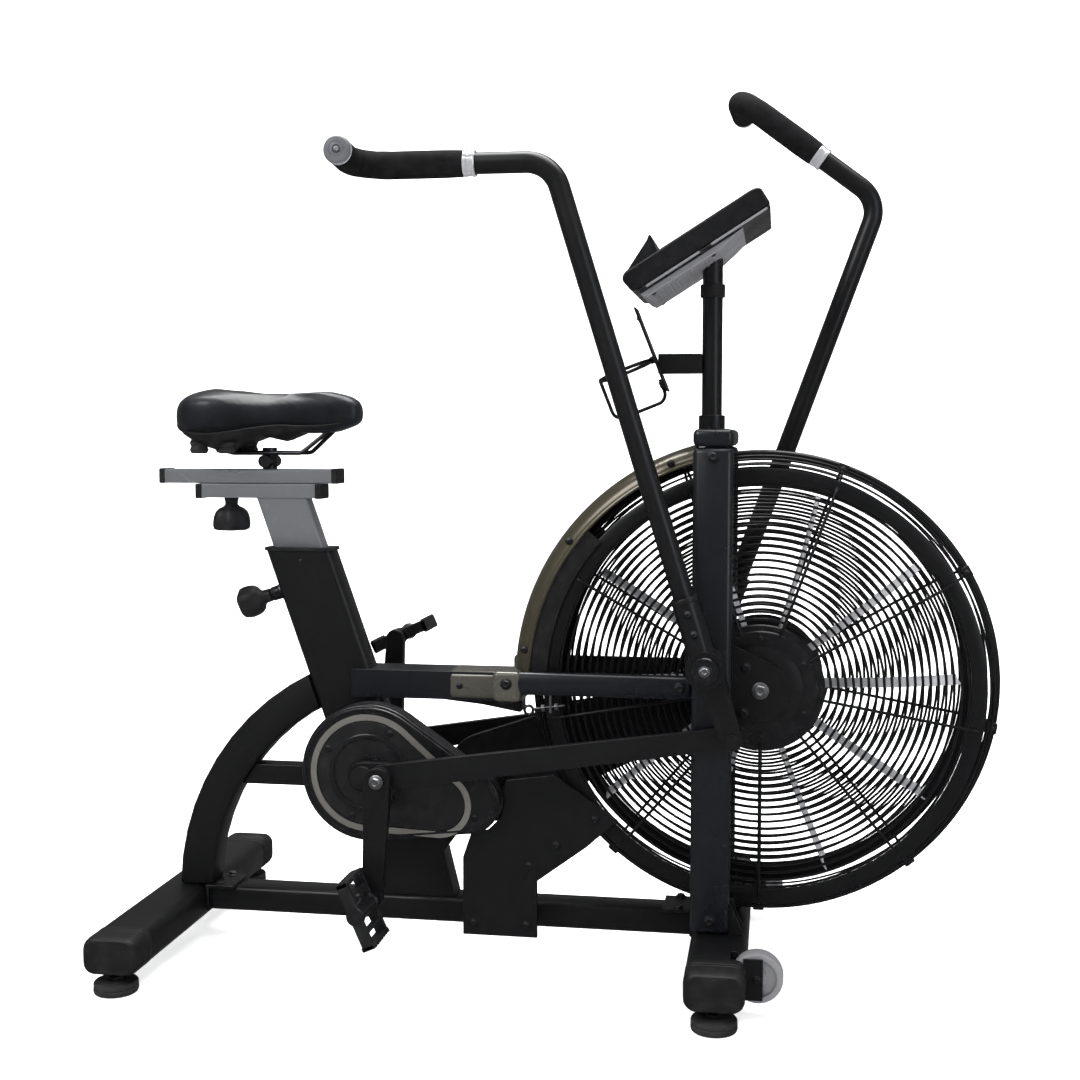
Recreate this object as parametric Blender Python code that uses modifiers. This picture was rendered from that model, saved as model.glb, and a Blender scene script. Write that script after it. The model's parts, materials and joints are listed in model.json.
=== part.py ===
"""Air bike: a fan-braked exercise bike with swinging handles. Metres, +Z up, rider faces +X.

Layout sizes are measured from the front masts (x = 0 in the layout). Every piece hangs on the
empty "layout", which moves the whole bike so that the world origin lies under its middle.
Right is -Y, left is +Y. Sizes along Y are given for one side and mirrored by `side`.
"""

import math

import bmesh
import bpy
from mathutils import Matrix, Quaternion, Vector

GAP = 0.0003                 # between pieces that touch
RUN = 0.0005                 # radial clearance of a turning fit
RIGHT, LEFT = -1, 1
SIDES = (("right", RIGHT), ("left", LEFT))

# feet and base
FOOT_X_REAR = -0.8155
FOOT_X_FRONT = 0.013
FOOT_WIDTH = 0.080
FOOT_LENGTH = 0.560
FOOT_BOTTOM = 0.029
FOOT_TOP = 0.081
FOOT_ROUND = 0.016
PAD_Y = 0.257
PAD_R = 0.031
PAD_HEIGHT = 0.020
PAD_STEM_R = 0.008
RAIL_HEIGHT = 0.038
RAIL_WIDTH = 0.050
WHEEL_X = 0.068
WHEEL_Z = 0.055
WHEEL_R = 0.034
WHEEL_Y = 0.203
WHEEL_WIDTH = 0.025
WHEEL_AXLE_R = 0.004
FORK_WALL = 0.003
FORK_GAP = 0.002
FORK_DEPTH = 0.022
FORK_HEIGHT = 0.056

# masts, bridge and console
MAST_WIDTH = 0.055
MAST_INNER = 0.088
MAST_OUTER = 0.128
MAST_TOP = 0.757
BRIDGE_TOP = 0.782
POST_X = -0.008
POST_R = 0.0145
COLLAR_R = 0.0190
COLLAR_TOP = 0.802
POST_TOP = 1.0500            # before the console's underside trims it
CONSOLE_WIDTH = 0.210
CONSOLE_TILT = 32.0          # degrees above level
CONSOLE_LENGTH = 0.218
CONSOLE_DEPTH = 0.046
CONSOLE_LOW = (-0.103, 0.9570)   # its lower back corner, x and z
BACK_DEPTH = 0.010
LEDGE_RISE = 0.034
LEDGE_THICK = 0.004
BOTTLE_ARM_Z = 0.876
BOTTLE_ARM_SIZE = 0.028
BOTTLE_ARM_REACH = 0.062
BOTTLE_PLATE_LEAN = 21.5     # degrees back from upright
BOTTLE_PLATE_WIDTH = 0.050
BOTTLE_PLATE_THICK = 0.0015  # half its thickness
BOTTLE_PLATE_SPAN = (-0.042, 0.086)
BOTTLE_RING_Z = 0.008
BOTTLE_FLOOR_DROP = 0.012
BOTTLE_R = 0.038
BOTTLE_WIRE_R = 0.0028

# fan and cage
FAN_X = 0.066
FAN_Z = 0.418
CAGE_R = 0.335
CAGE_FLAT_R = 0.303
CAGE_Y = 0.060
CAGE_PLATE = 0.003
CAGE_LIP_Y = 0.0075
BAND_R = 0.288
HUB_DISC_R = 0.088
HUB_DISC_THICK = 0.003
SPOKES = 9
SPOKE_START = 70.0           # degrees
SPOKE_WIDTH = 0.008
RING_WIDTH = 0.006
WINDOW_BANDS = 2
ARC_STEPS = 3
CAGE_RING_R = 0.006
FAN_BLADES = 10
FAN_TIP_R = 0.281
FAN_HUB_R = 0.060
FAN_HALF_WIDTH = 0.042
BLADE_THICK = 0.003
SHAFT_R = 0.010
FENDER_R = 0.355
FENDER_INNER_R = 0.330
FENDER_HALF_WIDTH = 0.0685
FENDER_WALL = 0.0025
FENDER_START = 105.6         # degrees from +X
FENDER_END = 177.3
AXLE_PLATE_INNER = 0.0825
AXLE_PLATE_LAP = 0.0065          # how far the plate's end rounds out past the mast
BEARING_R = 0.0190

# crank, linkage and drive
CRANK_X = -0.497
CRANK_Z = 0.283
CRANK_LENGTH = 0.165
JOURNAL_THROW = 0.033
WEB_INNER = 0.1125
WEB_OUTER = 0.1260
ROD_INNER = 0.1320
ROD_OUTER = 0.1440
ARM_INNER = 0.1500
ARM_OUTER = 0.1660
JOURNAL_R = 0.0080
ROD_HEIGHT = 0.030
ROD_LENGTH = 0.500
LEVER_LENGTH = 0.105
LEVER_BEND = 3.0             # degrees the lever stands forward of the handle's line
PEDAL_Y = 0.212
PEDAL_LENGTH = 0.098
PEDAL_WIDTH = 0.074
PEDAL_THICK = 0.022
PEDAL_WALL = 0.007
PEDAL_TILT = {"right": 66.0, "left": -24.0}   # degrees nose down at rest
SPINDLE_R = 0.0065
SPINDLE_TUBE_R = 0.0115
AXLE_R = 0.0100
BB_R = 0.026
BB_HALF = 0.052
CHAIN_PITCH = 0.0127
RING_TEETH = 42
SPROCKET_TEETH = 14
TOOTH = 0.003
SPROCKET_THICK = 0.003
CHAIN_Y = -0.079
CHAIN_THICK = 0.005
CHAIN_WIDTH = 0.007
LOOP_STEPS = 16              # facets of a chain or belt round each wheel
JACK_X = -0.349
JACK_Z = 0.245
JACK_PULLEY_R = 0.060
FAN_PULLEY_R = 0.030
BELT_Y = 0.0745
BELT_WIDTH = 0.006
BELT_THICK = 0.003
GUARD_R = 0.101
GUARD_TAIL_R = 0.047
GUARD_INNER = 0.0600
GUARD_OUTER = 0.0985
COVER_WALL = 0.0025
DRIVE_PLATE_INNER = 0.0680
DRIVE_PLATE_OUTER = 0.0740
SUPPORT_HALF = 0.020
SUPPORT_BACK = 0.020         # behind the crank
SUPPORT_FRONT = 0.112        # ahead of it, on the rail
PLATE_BASE_X = (-0.361, -0.251)
PLATE_NOSE = ((-0.251, 0.128), (-0.178, 0.182), (-0.134, 0.222), (-0.226, 0.285))
BELT_CASE_R = 0.070
BELT_CASE_FAN_R = 0.040
BELT_CASE_INNER = 0.0670
BELT_CASE_OUTER = 0.0815

# handles
PIVOT_X = -0.006
PIVOT_Z = 0.460
PIVOT_HUB_R = 0.026
PIVOT_HUB_INNER = 0.1350
PIVOT_HUB_OUTER = 0.1890
PIVOT_R = 0.0120
PIVOT_CAP_R = 0.0170
LEVER_INNER = 0.1500
LEVER_OUTER = 0.1620
LEVER_BOSS_R = 0.0085
HANDLE_Y = 0.170
HANDLE_R = 0.0146
HANDLE_RISE = 0.709
HANDLE_BEND_R = 0.048
HANDLE_RUN = 0.119
RUN_ANGLE = 17.4             # degrees the top run rises, with the handle upright
SLEEVE_R = 0.0185
SLEEVE_TOP = 0.100
GRIP_R = 0.0185
GRIP_STRAIGHT = 0.097
GRIP_BEND_R = 0.050
GRIP_TURN = 95.0
GRIP_TAIL = 0.058
PLUG_LENGTH = 0.012

# seat
SEAT_TUBE_LEAN = 19.2
SEAT_TUBE_TOP = (-0.6243, 0.6000)
SEAT_TUBE_LENGTH = 0.265
SEAT_TUBE_DEPTH = 0.096      # along the bike
SEAT_TUBE_WIDTH = 0.048
SEAT_TUBE_WALL = 0.0030
SEAT_POST_DEPTH = 0.075
SEAT_POST_WIDTH = 0.032
SEAT_POST_BELOW = 0.190
BUSH_DEPTH = 0.085
FLANGE_OVER = 0.003
FLANGE_THICK = 0.005
RAIL_BAR_HEIGHT = 0.0215
RAIL_BAR_WIDTH = 0.038
LOW_BAR_X = (-0.785, -0.589)
LOW_BAR_BOTTOM = 0.6790
TOP_BAR_X = (-0.8427, -0.564)
STAR_X = -0.736
STAR_R = 0.030
STAR_HEIGHT = 0.040
STAR_STEM_R = 0.011
STAR_STEM = 0.010
POP_DROP = 0.049             # below the tube's top, along the tube
POP_KNOB_R = 0.0245
POP_KNOB_OUT = 0.120         # knob's outer end from the tube's axis
POP_KNOB_LENGTH = 0.036
POP_PIN_R = 0.005
POP_BOSS_R = 0.011
POP_BOSS_LENGTH = 0.012
CLAMP_X = -0.674
CLAMP_STEM_R = 0.0110
CLAMP_HEAD_R = 0.0095
CLAMP_HALF = 0.026
SADDLE_BOTTOM = 0.7430

# rear frame
ARC_WIDTH = 0.050
ARC_DEPTH = 0.054
ARC_FOOT_X = -0.793
ARC_TOP = (-0.592, 0.392)    # where it meets the seat tube, x and z
ARC_BOW = 0.052
BRACE_REAR_X = -0.745
BRACE_Z = 0.256
BRACE_HEIGHT = 0.032
BRACE_WIDTH = 0.030
TOP_TUBE_Z = 0.404
TOP_TUBE_HEIGHT = 0.042
TOP_TUBE_WIDTH = 0.064
TOP_TUBE_X = (-0.540, -0.282)
SIDE_BAR_HEIGHT = 0.034
SIDE_BAR_Z = 0.4195
SIDE_BAR_THICK = 0.006
SIDE_BAR_STOP = 0.004            # the bar ends this far behind the mast
CROSS_X = -0.2880            # where the side bars are bolted to the top tube
CROSS_WIDTH = 0.018

REAR_END = FOOT_X_REAR - FOOT_WIDTH / 2
FRONT_END = FAN_X + CAGE_R
SHIFT = -(REAR_END + FRONT_END) / 2

PARTS = "air_bike"
CUTTERS = "cutters"


# ---------- scene and materials ----------

def clear_scene():
    for obj in list(bpy.data.objects):
        bpy.data.objects.remove(obj)


def collection(name):
    made = bpy.data.collections.new(name)
    bpy.context.scene.collection.children.link(made)
    return made


def material(name, color, roughness, metallic=0.0):
    made = bpy.data.materials.new(name)
    made.use_nodes = True
    shader = made.node_tree.nodes["Principled BSDF"]
    shader.inputs["Base Color"].default_value = (*color, 1.0)
    shader.inputs["Roughness"].default_value = roughness
    shader.inputs["Metallic"].default_value = metallic
    return made


clear_scene()
parts = collection(PARTS)
cutters = collection(CUTTERS)
layout = bpy.data.objects.new("layout", None)
layout.location = (SHIFT, 0, 0)
parts.objects.link(layout)

MATERIALS = {
    "frame_black": material("frame_black", (0.018, 0.018, 0.020), 0.40, 0.2),
    "plastic_black": material("plastic_black", (0.020, 0.020, 0.022), 0.50),
    "fender_olive": material("fender_olive", (0.050, 0.046, 0.036), 0.30, 0.5),
    "cage_black": material("cage_black", (0.015, 0.015, 0.017), 0.38, 0.3),
    "silver_paint": material("silver_paint", (0.36, 0.37, 0.38), 0.35, 0.7),
    "steel": material("steel", (0.55, 0.55, 0.56), 0.30, 1.0),
    "blade_grey": material("blade_grey", (0.42, 0.42, 0.44), 0.40, 0.6),
    "foam_black": material("foam_black", (0.012, 0.012, 0.013), 0.85),
    "saddle_black": material("saddle_black", (0.014, 0.015, 0.018), 0.35),
    "rubber_black": material("rubber_black", (0.020, 0.020, 0.020), 0.80),
    "wheel_grey": material("wheel_grey", (0.34, 0.34, 0.35), 0.55),
    "console_grey": material("console_grey", (0.16, 0.16, 0.17), 0.45),
}


# ---------- building helpers ----------

def add(name, mesh, slot=None, smooth=True):
    """Links a mesh as a part, or as a cutter where it has no material slot."""
    obj = bpy.data.objects.new(name, mesh)
    if slot is None:
        cutters.objects.link(obj)
        obj.hide_render = True
        obj.display_type = "WIRE"
    else:
        parts.objects.link(obj)
        mesh.materials.clear()
        mesh.materials.append(MATERIALS[slot])
    if smooth:
        mesh.shade_smooth()
        mesh.set_sharp_from_angle(angle=math.radians(35))
    obj.parent = layout
    return obj


def finished(curve, name):
    """The welded mesh of a curve, which leaves the scene."""
    obj = bpy.data.objects.new(name, curve)
    bpy.context.scene.collection.objects.link(obj)
    bpy.context.view_layer.update()
    evaluated = obj.evaluated_get(bpy.context.evaluated_depsgraph_get())
    mesh = bpy.data.meshes.new_from_object(evaluated)
    bpy.data.objects.remove(obj)
    bm = bmesh.new()
    bm.from_mesh(mesh)
    bmesh.ops.remove_doubles(bm, verts=bm.verts, dist=0.00002)
    bmesh.ops.recalc_face_normals(bm, faces=bm.faces)
    bm.to_mesh(mesh)
    bm.free()
    return mesh


def flat_mesh(name, loops, low, high):
    """Flat outlines in x and y, the first one with the others as holes, from z low to z high."""
    curve = bpy.data.curves.new(name, "CURVE")
    curve.dimensions = "2D"
    curve.fill_mode = "BOTH"
    curve.extrude = (high - low) / 2
    for loop in loops:
        spline = curve.splines.new("POLY")
        spline.points.add(len(loop) - 1)
        for point, (x, y) in zip(spline.points, loop):
            point.co = (x, y, 0, 1)
        spline.use_cyclic_u = True
    mesh = finished(curve, name)
    mesh.transform(Matrix.Translation((0, 0, (low + high) / 2)))
    return mesh


def plate_mesh(name, loops, y_low, y_high):
    """The same with outlines in x and z, from y_low to y_high."""
    mesh = flat_mesh(name, loops, -y_high, -y_low)
    mesh.transform(Matrix.Rotation(math.radians(90), 4, "X"))
    return mesh


def plate(name, loops, y_low, y_high, slot=None, bevel=0.0):
    obj = add(name, plate_mesh(name, loops, y_low, y_high), slot, smooth=False)
    if bevel:
        round_edges(obj, bevel)
    return obj


def side_plate(name, side, loops, inner, outer, slot=None, bevel=0.0):
    low, high = sorted((side * inner, side * outer))
    return plate(name, loops, low, high, slot, bevel)


def round_edges(obj, width, segments=2):
    mod = obj.modifiers.new("round", "BEVEL")
    mod.width = width
    mod.segments = segments
    mod.limit_method = "ANGLE"
    mod.angle_limit = math.radians(50)


def box(name, low, high, slot=None, bevel=0.0, segments=2):
    bm = bmesh.new()
    bmesh.ops.create_cube(bm, size=1.0)
    size = [h - l for l, h in zip(low, high)]
    middle = [(h + l) / 2 for l, h in zip(low, high)]
    bmesh.ops.scale(bm, vec=size, verts=bm.verts)
    bmesh.ops.translate(bm, vec=middle, verts=bm.verts)
    mesh = bpy.data.meshes.new(name)
    bm.to_mesh(mesh)
    bm.free()
    obj = add(name, mesh, slot, smooth=False)
    if bevel:
        round_edges(obj, bevel, segments)
    return obj


def side_box(name, side, xs, inner, outer, zs, slot=None, bevel=0.0):
    low, high = sorted((side * inner, side * outer))
    return box(name, (xs[0], low, zs[0]), (xs[1], high, zs[1]), slot, bevel)


def cylinder(name, start, end, radius, slot=None, sides=20):
    """A round bar from start to end."""
    start, end = Vector(start), Vector(end)
    along = end - start
    bm = bmesh.new()
    bmesh.ops.create_cone(bm, cap_ends=True, segments=sides, radius1=radius, radius2=radius,
                          depth=along.length)
    turn = along.to_track_quat("Z", "Y").to_matrix().to_4x4()
    bmesh.ops.transform(bm, matrix=Matrix.Translation((start + end) / 2) @ turn, verts=bm.verts)
    mesh = bpy.data.meshes.new(name)
    bm.to_mesh(mesh)
    bm.free()
    return add(name, mesh, slot)


def side_bar(name, side, x, z, inner, outer, radius, slot=None, sides=20):
    """A round bar along Y on one side of the bike."""
    return cylinder(name, (x, side * inner, z), (x, side * outer, z), radius, slot, sides)


def wire(name, points, radius, slot=None, resolution=2):
    """A round wire or tube along 3D points, with closed ends."""
    curve = bpy.data.curves.new(name, "CURVE")
    curve.dimensions = "3D"
    curve.bevel_depth = radius
    curve.bevel_resolution = resolution
    curve.use_fill_caps = True
    spline = curve.splines.new("POLY")
    spline.points.add(len(points) - 1)
    for point, co in zip(spline.points, points):
        point.co = (*co, 1)
    return add(name, finished(curve, name), slot)


def turned(name, profile, slot=None, steps=24, ring=False):
    """A solid turned about Z from (radius, z) points, from top to bottom; a ring's profile is a loop."""
    mesh = bpy.data.meshes.new(name)
    points = [(r, 0, z) for r, z in profile]
    edges = [(i, i + 1) for i in range(len(points) - 1)]
    if ring:
        edges.append((len(points) - 1, 0))
    mesh.from_pydata(points, edges, [])
    obj = add(name, mesh, slot, smooth=False)
    mod = obj.modifiers.new("turn", "SCREW")
    mod.steps = steps
    mod.render_steps = steps
    mod.use_merge_vertices = True
    mod.merge_threshold = 0.00005
    mod.use_smooth_shade = False
    return obj


def boolean(obj, other, operation):
    mod = obj.modifiers.new(operation.lower(), "BOOLEAN")
    mod.operation = operation
    mod.object = other
    mod.solver = "EXACT"
    return obj


def cut(obj, *others):
    for other in others:
        boolean(obj, other, "DIFFERENCE")
    return obj


def join(obj, *others):
    for other in others:
        boolean(obj, other, "UNION")
    return obj


def hang(holder, *objs):
    """Parents pieces to an empty, keeping their local numbers as numbers in its frame."""
    for obj in objs:
        obj.parent = holder


def holder(name, x, y, z, turn_y=0.0):
    empty = bpy.data.objects.new(name, None)
    empty.location = (x, y, z)
    empty.rotation_euler = (0, turn_y, 0)
    empty.parent = layout
    parts.objects.link(empty)
    return empty


# ---------- outlines ----------

def polar(cx, cz, radius, degrees):
    a = math.radians(degrees)
    return (cx + radius * math.cos(a), cz + radius * math.sin(a))


def circle(cx, cz, radius, sides=24):
    return [polar(cx, cz, radius, 360 * i / sides) for i in range(sides)]


def link_outline(a, ra, b, rb, steps=8):
    """The outline of a strap round two circles, a and b."""
    ax, az = a
    bx, bz = b
    heading = math.degrees(math.atan2(bz - az, bx - ax))
    spread = math.degrees(math.acos((ra - rb) / math.hypot(bx - ax, bz - az)))
    points = []
    for i in range(steps + 1):
        points.append(polar(ax, az, ra, heading + spread + (360 - 2 * spread) * i / steps))
    for i in range(steps + 1):
        points.append(polar(bx, bz, rb, heading - spread + 2 * spread * i / steps))
    return points


def toothed(cx, cz, teeth, pitch_radius, tooth):
    """A sprocket's outline, one pointed tooth to each link of the chain."""
    points = []
    for i in range(teeth):
        for share, r in ((0.0, -tooth), (0.5, tooth)):
            points.append(polar(cx, cz, pitch_radius + r, 360 * (i + share) / teeth))
    return points


def band_outline(centre_line, width):
    """The outline of a strip of even width along a line."""
    left, right = [], []
    count = len(centre_line)
    for i, (x, z) in enumerate(centre_line):
        before = Vector(centre_line[max(i - 1, 0)])
        after = Vector(centre_line[min(i + 1, count - 1)])
        along = (after - before).normalized()
        across = Vector((-along.y, along.x)) * width / 2
        left.append((x + across.x, z + across.y))
        right.append((x - across.x, z - across.y))
    return left + right[::-1]


def arc_between(start, end, sag, steps):
    """Points on an arc from start to end that bows sag to the left of the way."""
    a, b = Vector(start), Vector(end)
    chord = (b - a).length
    radius = (chord * chord / 4 + sag * sag) / (2 * abs(sag))
    normal = Vector((-(b - a).y, (b - a).x)).normalized() * math.copysign(1, sag)
    centre = (a + b) / 2 - normal * (radius - abs(sag))
    first = math.atan2(a.y - centre.y, a.x - centre.x)
    last = math.atan2(b.y - centre.y, b.x - centre.x)
    sweep = (last - first + math.pi) % (2 * math.pi) - math.pi
    return [
        (centre.x + radius * math.cos(first + sweep * i / steps),
         centre.y + radius * math.sin(first + sweep * i / steps))
        for i in range(steps + 1)
    ]


def rounded(points, radius, steps=5):
    """A path whose inner corners are arcs of one radius."""
    points = [Vector(p) for p in points]
    path = [points[0]]
    for before, corner, after in zip(points, points[1:], points[2:]):
        u = (before - corner).normalized()
        v = (after - corner).normalized()
        half = u.angle(v) / 2
        reach = radius / math.tan(half)
        centre = corner + (u + v).normalized() * (radius / math.sin(half))
        spoke = corner + u * reach - centre
        turn = math.pi - 2 * half
        for i in range(steps + 1):
            path.append(centre + Quaternion(v.cross(u), turn * i / steps) @ spoke)
    path.append(points[-1])
    return path


# ---------- the four-bar linkage at rest ----------

def lever_pin(journal):
    """Where the push rod from this journal meets the lever's circle, below the pivot."""
    pivot = Vector((PIVOT_X, PIVOT_Z))
    across = pivot - Vector(journal)
    d = across.length
    along = (d * d + ROD_LENGTH ** 2 - LEVER_LENGTH ** 2) / (2 * d)
    off = math.sqrt(ROD_LENGTH ** 2 - along * along)
    unit = across.normalized()
    point = Vector(journal) + unit * along + Vector((unit.y, -unit.x)) * off
    return (point.x, point.y)


def crank_phase():
    """The angle of the crank at which the right push rod is fully forward."""
    pin = Vector((PIVOT_X + LEVER_LENGTH * 0.33, PIVOT_Z - LEVER_LENGTH * 0.94))
    return math.atan2(pin.y - CRANK_Z, pin.x - CRANK_X)


PHASE = crank_phase()


def on_crank(side, radius, turn=0.0):
    """A point that turns with the crank: right at PHASE + turn, left opposite."""
    angle = PHASE + turn + (0 if side == RIGHT else math.pi)
    return (CRANK_X + radius * math.cos(angle), CRANK_Z + radius * math.sin(angle))


def journal_at(side):
    return on_crank(side, JOURNAL_THROW)


def pedal_at(side):
    return on_crank(side, CRANK_LENGTH, -math.pi / 2)


def handle_lean(side):
    """The handle's lean at rest, in radians, forward positive."""
    x, z = lever_pin(journal_at(side))
    forward = math.atan2(x - PIVOT_X, PIVOT_Z - z)
    return math.radians(LEVER_BEND) - forward


# ---------- base ----------

def foot(name, x):
    half = FOOT_WIDTH / 2
    obj = box(name, (x - half, -FOOT_LENGTH / 2, FOOT_BOTTOM), (x + half, FOOT_LENGTH / 2, FOOT_TOP),
              "frame_black", FOOT_ROUND, 3)
    obj.data.shade_smooth()
    return obj


def levelling_foot(name, x, y):
    shoulder = PAD_HEIGHT * 0.75
    profile = [(0, FOOT_BOTTOM - GAP), (PAD_STEM_R, FOOT_BOTTOM - GAP), (PAD_STEM_R, PAD_HEIGHT),
               (PAD_R * 0.8, PAD_HEIGHT), (PAD_R, shoulder), (PAD_R, 0.003), (PAD_R * 0.92, 0), (0, 0)]
    obj = turned(name, profile, "rubber_black", 16)
    obj.location = (x, y, 0)
    return obj


def base():
    foot("rear_foot", FOOT_X_REAR)
    foot("front_foot", FOOT_X_FRONT)
    for end, x in (("rear", FOOT_X_REAR), ("front", FOOT_X_FRONT)):
        for word, side in SIDES:
            levelling_foot(f"levelling_foot_{end}_{word}", x, side * PAD_Y)
    start = FOOT_X_REAR + FOOT_WIDTH / 2 + GAP
    stop = FOOT_X_FRONT - FOOT_WIDTH / 2 - GAP
    box("bottom_rail", (start, -RAIL_WIDTH / 2, FOOT_TOP - RAIL_HEIGHT), (stop, RAIL_WIDTH / 2, FOOT_TOP),
        "frame_black", 0.006)


def transport_wheel(word, side):
    inner = WHEEL_Y - WHEEL_WIDTH / 2
    outer = WHEEL_Y + WHEEL_WIDTH / 2
    front = FOOT_X_FRONT + FOOT_WIDTH / 2
    low = WHEEL_Z - FORK_HEIGHT / 2
    high = WHEEL_Z + FORK_HEIGHT / 2
    fork_in = inner - FORK_GAP - FORK_WALL
    fork_out = outer + FORK_GAP + FORK_WALL
    reach = WHEEL_X + FORK_DEPTH / 2 - 0.004
    fork = side_box(f"wheel_fork_{word}", side, (front - 0.004, reach), fork_in, fork_out, (low, high))
    well = side_box(f"wheel_well_{word}", side, (WHEEL_X - WHEEL_R - FORK_GAP, reach + 0.01),
                    inner - FORK_GAP, outer + FORK_GAP, (FOOT_BOTTOM - 0.01, FOOT_TOP + 0.01))
    pin = side_bar(f"wheel_pin_{word}", side, WHEEL_X, WHEEL_Z, fork_in + 0.001, fork_out - 0.001,
                   WHEEL_AXLE_R)
    foot_tube = bpy.data.objects["front_foot"]
    join(cut(join(foot_tube, fork), well), pin)
    hub = holder(f"wheel_axis_{word}", WHEEL_X, side * WHEEL_Y, WHEEL_Z)
    half = WHEEL_WIDTH / 2
    loops = [circle(0, 0, WHEEL_R, 24), circle(0, 0, WHEEL_AXLE_R + RUN, 12)]
    wheel = plate(f"transport_wheel_{word}", loops, -half, half, "wheel_grey")
    hang(hub, wheel)


# ---------- masts, bridge, console ----------

def masts():
    half = MAST_WIDTH / 2
    for word, side in SIDES:
        mast = side_box(f"mast_{word}", side, (-half, half), MAST_INNER, MAST_OUTER,
                        (FOOT_TOP + GAP, MAST_TOP), "frame_black", 0.008)
        stub = side_bar(f"pivot_stub_{word}", side, PIVOT_X, PIVOT_Z, MAST_OUTER - 0.005,
                        PIVOT_HUB_OUTER + 0.007, PIVOT_R)
        cap = side_bar(f"pivot_cap_{word}", side, PIVOT_X, PIVOT_Z, PIVOT_HUB_OUTER + GAP,
                       PIVOT_HUB_OUTER + 0.006, PIVOT_CAP_R)
        join(mast, stub, cap)
    bridge = box("mast_bridge", (-half, -MAST_OUTER, MAST_TOP + GAP), (half, MAST_OUTER, BRIDGE_TOP),
                 "frame_black", 0.008, 3)
    bridge.data.shade_smooth()
    cylinder("console_post", (POST_X, 0, BRIDGE_TOP + GAP), (POST_X, 0, POST_TOP), POST_R, "frame_black")
    collar = cylinder("post_collar", (POST_X, 0, BRIDGE_TOP + GAP), (POST_X, 0, COLLAR_TOP), COLLAR_R)
    join(bpy.data.objects["console_post"], collar)


def console():
    tilt = math.radians(CONSOLE_TILT)
    half = CONSOLE_WIDTH / 2
    seat = holder("console_frame", CONSOLE_LOW[0], 0, CONSOLE_LOW[1], -tilt)
    shape = [(0, BACK_DEPTH + GAP), (CONSOLE_LENGTH, BACK_DEPTH + GAP), (CONSOLE_LENGTH, CONSOLE_DEPTH * 0.9),
             (CONSOLE_LENGTH - 0.012, CONSOLE_DEPTH), (0.004, CONSOLE_DEPTH), (-0.006, CONSOLE_DEPTH * 0.8)]
    body = plate("console_body", [shape], -half, half, "plastic_black", 0.003)
    back_shape = [(0.010, 0), (CONSOLE_LENGTH * 0.62, 0), (CONSOLE_LENGTH * 0.80, BACK_DEPTH),
                  (0.002, BACK_DEPTH)]
    back = plate("console_back", [back_shape], -half + 0.012, half - 0.012, "console_grey", 0.002)
    ledge_shape = [(0.030, CONSOLE_DEPTH - 0.005), (0.030 + LEDGE_THICK, CONSOLE_DEPTH - 0.005),
                   (0.030 + LEDGE_THICK, CONSOLE_DEPTH + LEDGE_RISE * 0.7),
                   (0.030 + LEDGE_THICK * 0.5, CONSOLE_DEPTH + LEDGE_RISE * 0.7)]
    ledge = plate("console_ledge", [ledge_shape], -half + 0.02, half - 0.02)
    join(body, ledge)
    under = box("console_under", (-0.05, -half, -GAP), (CONSOLE_LENGTH + 0.05, half, CONSOLE_LENGTH))
    cut(bpy.data.objects["console_post"], under)
    hang(seat, body, back, ledge, under)


def bottle_holder():
    """An arm on the console post with a leaning back plate, and one bent wire that holds the bottle."""
    start = POST_X - POST_R - GAP
    end = start - BOTTLE_ARM_REACH
    half = BOTTLE_ARM_SIZE / 2
    arm = box("bottle_holder", (end, -half, BOTTLE_ARM_Z - half), (start, half, BOTTLE_ARM_Z + half),
              "frame_black")
    frame = holder("bottle_frame", end - 0.002, 0, BOTTLE_ARM_Z, -math.radians(BOTTLE_PLATE_LEAN))
    wide = BOTTLE_PLATE_WIDTH / 2
    strip = box("bottle_plate", (-BOTTLE_PLATE_THICK, -wide, BOTTLE_PLATE_SPAN[0]),
                (BOTTLE_PLATE_THICK, wide, BOTTLE_PLATE_SPAN[1]))
    join(arm, strip)
    ring_r = BOTTLE_R + BOTTLE_WIRE_R
    middle = -BOTTLE_PLATE_THICK - ring_r - BOTTLE_WIRE_R - GAP
    ring = [(middle + ring_r * math.cos(math.radians(a)), ring_r * math.sin(math.radians(a)), BOTTLE_RING_Z)
            for a in range(-165, 181, 23)]
    lowest = BOTTLE_PLATE_SPAN[0] - BOTTLE_FLOOR_DROP
    loop = rounded([(middle - ring_r, 0, BOTTLE_RING_Z), (middle - ring_r, 0, lowest),
                    (middle + ring_r, 0, lowest), (middle + ring_r, 0, BOTTLE_RING_Z - 0.03)], 0.014, 3)
    cage = wire("bottle_cage", ring, BOTTLE_WIRE_R, "steel", 1)
    cradle = wire("bottle_cradle", loop, BOTTLE_WIRE_R * 0.98, None, 1)
    join(cage, cradle)
    hang(frame, strip, cage, cradle)


# ---------- fan ----------

def cage_window(r_low, r_high, a_low, a_high):
    """One opening of the grille between two rings and two spokes."""
    inner = math.degrees(SPOKE_WIDTH / 2 / r_low)
    outer = math.degrees(SPOKE_WIDTH / 2 / r_high)
    points = []
    for i in range(ARC_STEPS + 1):
        share = i / ARC_STEPS
        points.append(polar(0, 0, r_low, a_low + inner + (a_high - a_low - 2 * inner) * share))
    for i in range(ARC_STEPS + 1):
        share = 1 - i / ARC_STEPS
        points.append(polar(0, 0, r_high, a_low + outer + (a_high - a_low - 2 * outer) * share))
    return points


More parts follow.
